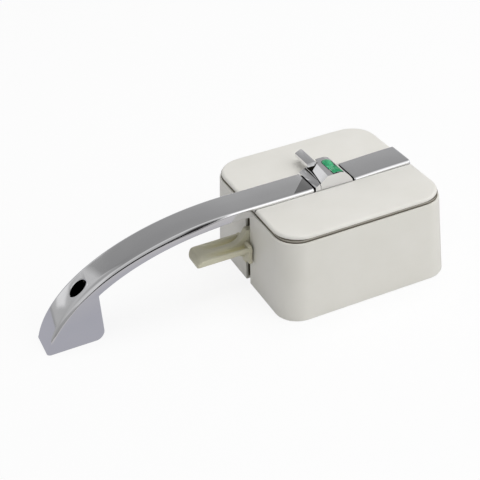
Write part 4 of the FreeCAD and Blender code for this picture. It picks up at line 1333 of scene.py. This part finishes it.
def plasticMaterial(name, colour, shade, roughness):
    values = finishValues
    material, tree, shader = newMaterial(name)
    clouds = rangeNode(tree, noiseNode(tree, values["cloudScale"], 4), 0, 1)
    fine = noiseNode(tree, values["grainScale"], 3)
    setInputs(tree, shader, {
        "Base Color": colourMix(tree, clouds, colour, shade),
        "Roughness": rangeNode(tree, fine, roughness - 0.05, roughness + 0.07),
        "Normal": bumpNode(tree, fine, values["plasticGrain"], values["plasticDepth"]),
        "Specular IOR Level": values["plasticShine"],
    })
    return material


def baseColour(material):
    shader = material.node_tree.nodes["Principled BSDF"]
    return shader, shader.inputs["Base Color"].links[0].from_socket


# Painted light: the flags glow in their own colour, so that they look lit under the lens.
def flagMaterial(name, colour, shade):
    material = plasticMaterial(name, colour, shade, 0.5)
    shader, source = baseColour(material)
    glow = {"Emission Color": source, "Emission Strength": finishValues["flagPaintedGlow"]}
    setInputs(material.node_tree, shader, glow)
    return material


def metalMaterial(name, colour, shade, roughness, stretch=(1, 1, 1), grain=0.1, scale=300):
    material, tree, shader = newMaterial(name)
    clouds = rangeNode(tree, noiseNode(tree, finishValues["metalCloudScale"], 5), 0, 1)
    brushed = noiseNode(tree, scale, 4, stretch)
    setInputs(tree, shader, {
        "Base Color": colourMix(tree, clouds, colour, shade),
        "Roughness": rangeNode(tree, brushed, roughness * 0.75, roughness * 1.3),
        "Normal": bumpNode(tree, brushed, grain, finishValues["metalDepth"]),
        "Metallic": 1,
    })
    return material


def chromeMaterial(name):
    values = finishValues
    material, tree, shader = newMaterial(name)
    clouds = rangeNode(tree, noiseNode(tree, 30, 3), 0, 1)
    wave = noiseNode(tree, values["waveScale"], 1)
    setInputs(tree, shader, {
        "Base Color": colourMix(tree, clouds, *values["chromeColours"]),
        "Roughness": rangeNode(tree, noiseNode(tree, 120, 6, (1, 1.6, 1)), *values["chromeRoughness"]),
        "Normal": bumpNode(tree, wave, values["waviness"][name], values["waveDepth"]),
        "Metallic": 1,
    })
    return material


def paint(material, maskOf, colour):
    tree = material.node_tree
    shader, source = baseColour(material)
    setInputs(tree, shader, {"Base Color": colourMix(tree, maskOf(tree), source, colour)})


# The seal's colour follows its height, with painted shade at top and bottom.
def sealMaterial():
    material, tree, shader = newMaterial("sealRubber")
    height = over(tree, axesOf(tree)["Z"], sealSizes["low"], sealSizes["high"])
    fine = noiseNode(tree, 900, 3)
    setInputs(tree, shader, {
        "Base Color": rampNode(tree, height, [(spot, linear(colour)) for spot, colour in sealShadeStops]),
        "Roughness": rangeNode(tree, fine, 0.6, 0.8),
        "Normal": bumpNode(tree, fine, 0.15, 0.00005),
    })
    return material


# A shadow ray passes the lens, so that the flag under it stays lit.
def lensMaterial():
    material, tree, shader = newMaterial("clearLens")
    setInputs(tree, shader, {
        "Base Color": linear(finishValues["lensColour"]),
        "Roughness": rangeNode(tree, noiseNode(tree, 200, 3), 0.0, 0.02),
        "Transmission Weight": 1,
        "IOR": finishValues["lensIndex"],
    })
    clear = addNode(tree, "ShaderNodeBsdfTransparent")
    path = addNode(tree, "ShaderNodeLightPath")
    surface = shaderMix(tree, path["Is Shadow Ray"], shader.outputs["BSDF"], clear[0])
    setInputs(tree, tree.nodes["Material Output"], {"Surface": surface})
    return material


plastics = {
    "case_plastic": ("casePlastic", (234, 232, 225), (230, 228, 220), 0.38),
    "cover_plastic": ("coverPlastic", (235, 233, 227), (231, 229, 222), 0.36),
    "lever_plastic": ("leverPlastic", (211, 208, 186), (205, 201, 178), 0.36),
    "black_plastic": ("blackPlastic", (38, 38, 40), (30, 30, 32), 0.45),
    "white_plastic": ("whitePlastic", (226, 226, 222), (218, 218, 213), 0.42),
}

flags = {
    "green_flag": ("greenFlag", (2, 172, 112), (2, 166, 106)),
    "red_flag": ("redFlag", (212, 34, 30), (202, 30, 27)),
}

metals = {
    "zinc_steel": ("zincSteel", (186, 190, 196), (196, 194, 182), 0.32, (1, 14, 1)),
    "bright_steel": ("brightSteel", (196, 198, 202), (184, 186, 190), 0.22, (8, 1, 1)),
    "spring_steel": ("springSteel", (150, 152, 156), (134, 136, 142), 0.28),
    "cast_zinc": ("castZinc", (168, 170, 174), (158, 160, 166), 0.42, (1, 1, 1), 0.25, 700),
}

chromes = {
    "chrome": ("chrome",),
    "chrome_block": ("chromeBlock",),
    "chrome_snib": ("chromeSnib",),
}

# Painted shade: a second, darker colour for deep places that little light reaches (inside the case, the
# cover's channel, the lever's scoops, the block's pocket and groove, the snib's hub and the bar's bore), and
# a painted reflection, the dark triangle on the bar.
paintedShadeAndReflection = {
    "case_plastic": (insideShadeMask, (92, 86, 72)),
    "cover_plastic": (channelShadeMask, (34, 33, 31)),
    "lever_plastic": (troughShadeMask, (206, 200, 152)),
    "chrome": (barShadeAndReflectionMask, (44, 42, 34)),
    "chrome_block": (pocketShadeMask, (44, 42, 34)),
    "chrome_snib": (hubShadeMask, (44, 42, 34)),
}

materials = {"seal_rubber": sealMaterial(), "clear_lens": lensMaterial()}
families = [(plastics, plasticMaterial), (flags, flagMaterial), (metals, metalMaterial),
            (chromes, chromeMaterial)]
for family, make in families:
    for slotName, values in family.items():
        materials[slotName] = make(*values)
for slotName, (maskOf, colour) in paintedShadeAndReflection.items():
    paint(materials[slotName], maskOf, colour)
slotNames = {part["node"]: part["material_slot"] for part in frame["record"]["subparts"]}
print("materials made")


def dress(obj, slotName):
    obj.data.materials.clear()
    obj.data.materials.append(materials[slotName])


def place(obj, body, slotName, nodeName, finish=None):
    dress(obj, finish or slotName)
    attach(obj, body)
    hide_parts(nodeName)
    print("made", obj.name)


def squeeze(obj):
    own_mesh(obj)


place(makeCaseShell(), "case", "case_plastic", "base_shell")
place(makeCover(), "case", "cover_plastic", "top_cover")
place(makeSeal(), "case", "seal_rubber", "cover_seal")
place(makeHandle(), "case", "chrome", "grab_handle")
place(makeTrim(), "case", "chrome", "trim_strip")
place(makeBlockBase(), "case", "chrome", "indicator_base", "chrome_block")
place(makeHood(), "case", "chrome", "indicator_hood", "chrome_block")
place(makeLens(), "case", "clear_lens", "indicator_lens")
place(makeSnib(), "snib", "chrome", "snib_lever", "chrome_snib")
place(makeSpindle(), "snib", slotNames["snib_spindle"], "snib_spindle")
place(makeReleaseLever(), "lever", "lever_plastic", "release_lever")
wireSteel = materials["spring_steel"]
boltSpring = makeSlidingSpring("boltSpring", boltSpringSizes, wireSteel)
place(boltSpring, "carriage", "spring_steel", "bolt_spring")
carriageSpring = makeSlidingSpring("carriageSpring", carriageSpringSizes, wireSteel)
place(carriageSpring, "case", "spring_steel", "carriage_spring")
squeeze(boltSpring)
squeeze(carriageSpring)
place(makeLeverSpring(wireSteel), "case", "spring_steel", "lever_return_spring")
place(makeWallScrews(materials["bright_steel"]), "case", "bright_steel", "wall_screws")


floorValues = {
    "reach": 3000,
    "thick": 2,
    "drop": 0.02,
    "colours": ((250, 250, 250), (247, 247, 247)),
    "cameraGlow": 0.86,
    "mirrorNear": (196, 194, 195),
    "mirrorFar": (174, 174, 182),
    "mirrorBorder": (-90, -30),
    "mirrorDark": (30, 30, 32),
    "darkFront": (-180, -130),
    "darkRight": (-40, 20),
    "darkLeft": (-190, -170),
}

# Each wall of the studio gets its level of light at these heights, from the horizon at 0 to overhead at 1.
overhead = (1.0, 0.32)
wallLevels = {
    "behind": [(0.0, 0.4), (0.28, 0.5), (0.45, 0.38), (0.56, 0.33), (0.64, 0.305), (0.85, 0.31), overhead],
    "beside": [(0.0, 0.42), (0.05, 0.6), (0.28, 0.57), (0.42, 0.66), (0.54, 0.69), (0.85, 0.45), overhead],
    "panel": [(0.0, 0.4), (0.08, 1.2), (0.6, 1.15), (0.8, 0.6), (0.9, 0.33), overhead],
    "gap": [(0.0, 0.01), (0.46, 0.02), (0.6, 0.5), (0.82, 0.72), (0.93, 0.33), overhead],
    "leftHigh": [(0.0, 0.02), (0.26, 0.04), (0.42, 0.85), (0.8, 0.9), (0.93, 0.4), overhead],
    "leftLow": [(0.0, 0.35), (0.1, 0.45), (0.3, 0.5), (0.45, 0.8), (0.8, 0.85), (0.93, 0.4), overhead],
    "card": [(0.0, 1.0), (1.0, 0.8)],
}

# Where one wall ends and the next begins, as parts of the direction's length along X or Y.
wallBorders = {
    "panel": (0.19, 0.27),
    "leftHigh": (-0.45, -0.33),
    "leftLow": (-0.5, -0.42),
    "beside": (-0.385, -0.345),
    "behind": (-0.45, 0.15),
    "strength": (-0.8, 0.3),
    "strengthLevels": (0.7, 1.05),
    "cardSlope": 0.78,
    "cardLow": (0.54, 0.57),
    "cardHigh": (0.665, 0.69),
    "cardLeft": (-0.6, -0.58),
    "cardRight": (-0.24, -0.22),
}

lightValues = {
    "frontLight": ((0.5, -1.1, 0.9), (0, 0, 0.03), (0.9, 0.7), 2.2),
    "topLight": ((0.25, 0.0, 1.4), (0, 0, 0), (1.0, 1.0), 9.4),
}

cameraValues = {
    "azimuth": 22.58,
    "elevation": 33.78,
    "roll": 4.12,
    "lens": 80.91,
    "sensor": 36,
    "farEnd": 20,
    "place": (-0.24768, -0.46255, 0.36389),
}


def glow(tree, colour):
    return addNode(tree, "ShaderNodeEmission", {"Color": colour, "Strength": 1})[0]


# The camera sees the floor nearly white. The chrome sees it in greys, with a dark patch beside the handle.
def makeFloor():
    values = floorValues
    reach = values["reach"]
    floor = block(-reach, reach, -reach, reach, -values["thick"], -values["drop"])
    floor.name = "floor"
    material, tree, shader = newMaterial("floorWhite")
    setInputs(tree, shader, {
        "Base Color": colourMix(tree, noiseNode(tree, 40, 2), *values["colours"]),
        "Roughness": 0.9,
        "Specular IOR Level": 0.0,
    })
    axes = axesOf(tree)
    path = addNode(tree, "ShaderNodeLightPath")
    share = nodeMath(tree, "MULTIPLY", path["Is Camera Ray"], values["cameraGlow"])
    seen = shaderMix(tree, share, shader.outputs["BSDF"], glow(tree, linear((255, 255, 255))))
    dark = allOf(tree, under(tree, axes["Y"], *values["darkFront"]),
                 under(tree, axes["X"], *values["darkRight"]), over(tree, axes["X"], *values["darkLeft"]))
    border = under(tree, axes["Y"], *values["mirrorBorder"])
    bright = colourMix(tree, border, values["mirrorFar"], values["mirrorNear"])
    mirror = glow(tree, colourMix(tree, dark, bright, values["mirrorDark"]))
    surface = shaderMix(tree, path["Is Glossy Ray"], seen, mirror)
    setInputs(tree, tree.nodes["Material Output"], {"Surface": surface})
    floor.data.materials.append(material)


# The walls of light fall on the lock and show in its chrome. For the camera the world is white.
def makeWorld():
    world = bpy.data.worlds.new("studio")
    bpy.context.scene.world = world
    world.use_nodes = True
    tree = world.node_tree
    background = tree.nodes["Background"]
    axes = axesOf(tree, "Generated")
    borders = wallBorders
    walls = {}
    for name, levels in wallLevels.items():
        stops = [(height, (level, level, level, 1)) for height, level in levels]
        walls[name] = rampNode(tree, axes["Z"], stops)
    before = colourMix(tree, over(tree, axes["X"], *borders["panel"], 1), walls["gap"], walls["panel"])
    for name in ("leftHigh", "leftLow"):
        before = colourMix(tree, under(tree, axes["X"], *borders[name], 1), before, walls[name])
    beside = under(tree, axes["X"], *borders["beside"], 1)
    away = colourMix(tree, beside, walls["behind"], walls["beside"])
    slope = nodeMath(tree, "MULTIPLY", axes["X"], borders["cardSlope"])
    offset = nodeMath(tree, "SUBTRACT", axes["Z"], slope)
    card = allOf(tree, over(tree, offset, *borders["cardLow"], 1),
                 under(tree, offset, *borders["cardHigh"], 1),
                 over(tree, axes["X"], *borders["cardLeft"], 1),
                 under(tree, axes["X"], *borders["cardRight"], 1))
    away = colourMix(tree, card, away, walls["card"])
    colour = colourMix(tree, under(tree, axes["Y"], *borders["behind"], 1), away, before)
    strength = rangeNode(tree, axes["X"], *borders["strengthLevels"], *borders["strength"])
    setInputs(tree, background, {"Color": colour, "Strength": strength})
    path = addNode(tree, "ShaderNodeLightPath")
    white = glow(tree, linear((255, 255, 255)))
    seen = shaderMix(tree, path["Is Camera Ray"], background.outputs["Background"], white)
    setInputs(tree, tree.nodes["World Output"], {"Surface": seen})


def makeLight(name, spot, target, size, power):
    light = bpy.data.lights.new(name, "AREA")
    light.shape = "RECTANGLE"
    light.size, light.size_y = size
    light.energy = power
    obj = newObject(name, light)
    obj.location = spot
    direction = Vector(target) - Vector(spot)
    obj.rotation_euler = direction.to_track_quat("-Z", "Y").to_euler()
    obj.visible_glossy = False


def makeCamera():
    values = cameraValues
    azimuth = math.radians(values["azimuth"])
    elevation = math.radians(values["elevation"])
    roll = math.radians(values["roll"])
    level = math.cos(elevation)
    forward = Vector((math.sin(azimuth) * level, math.cos(azimuth) * level, -math.sin(elevation)))
    right = Vector((math.cos(azimuth), -math.sin(azimuth), 0))
    down = forward.cross(right)
    across = right * math.cos(roll) + down * math.sin(roll)
    below = down * math.cos(roll) - right * math.sin(roll)
    camera = bpy.data.cameras.new("camera")
    camera.sensor_width = values["sensor"]
    camera.lens = values["lens"]
    camera.clip_end = values["farEnd"]
    obj = newObject("camera", camera)
    turn = Matrix((across, -below, -forward)).transposed()
    obj.matrix_world = Matrix.Translation(values["place"]) @ turn.to_4x4()
    bpy.context.scene.camera = obj


makeFloor()
makeWorld()
for name, values in lightValues.items():
    makeLight(name, *values)
makeCamera()
bpy.context.scene.view_settings.view_transform = "Standard"
print("stage made")

for nodeName, obj in frame["nodes"].items():
    if slotNames.get(nodeName) in materials:
        dress(obj, slotNames[nodeName])
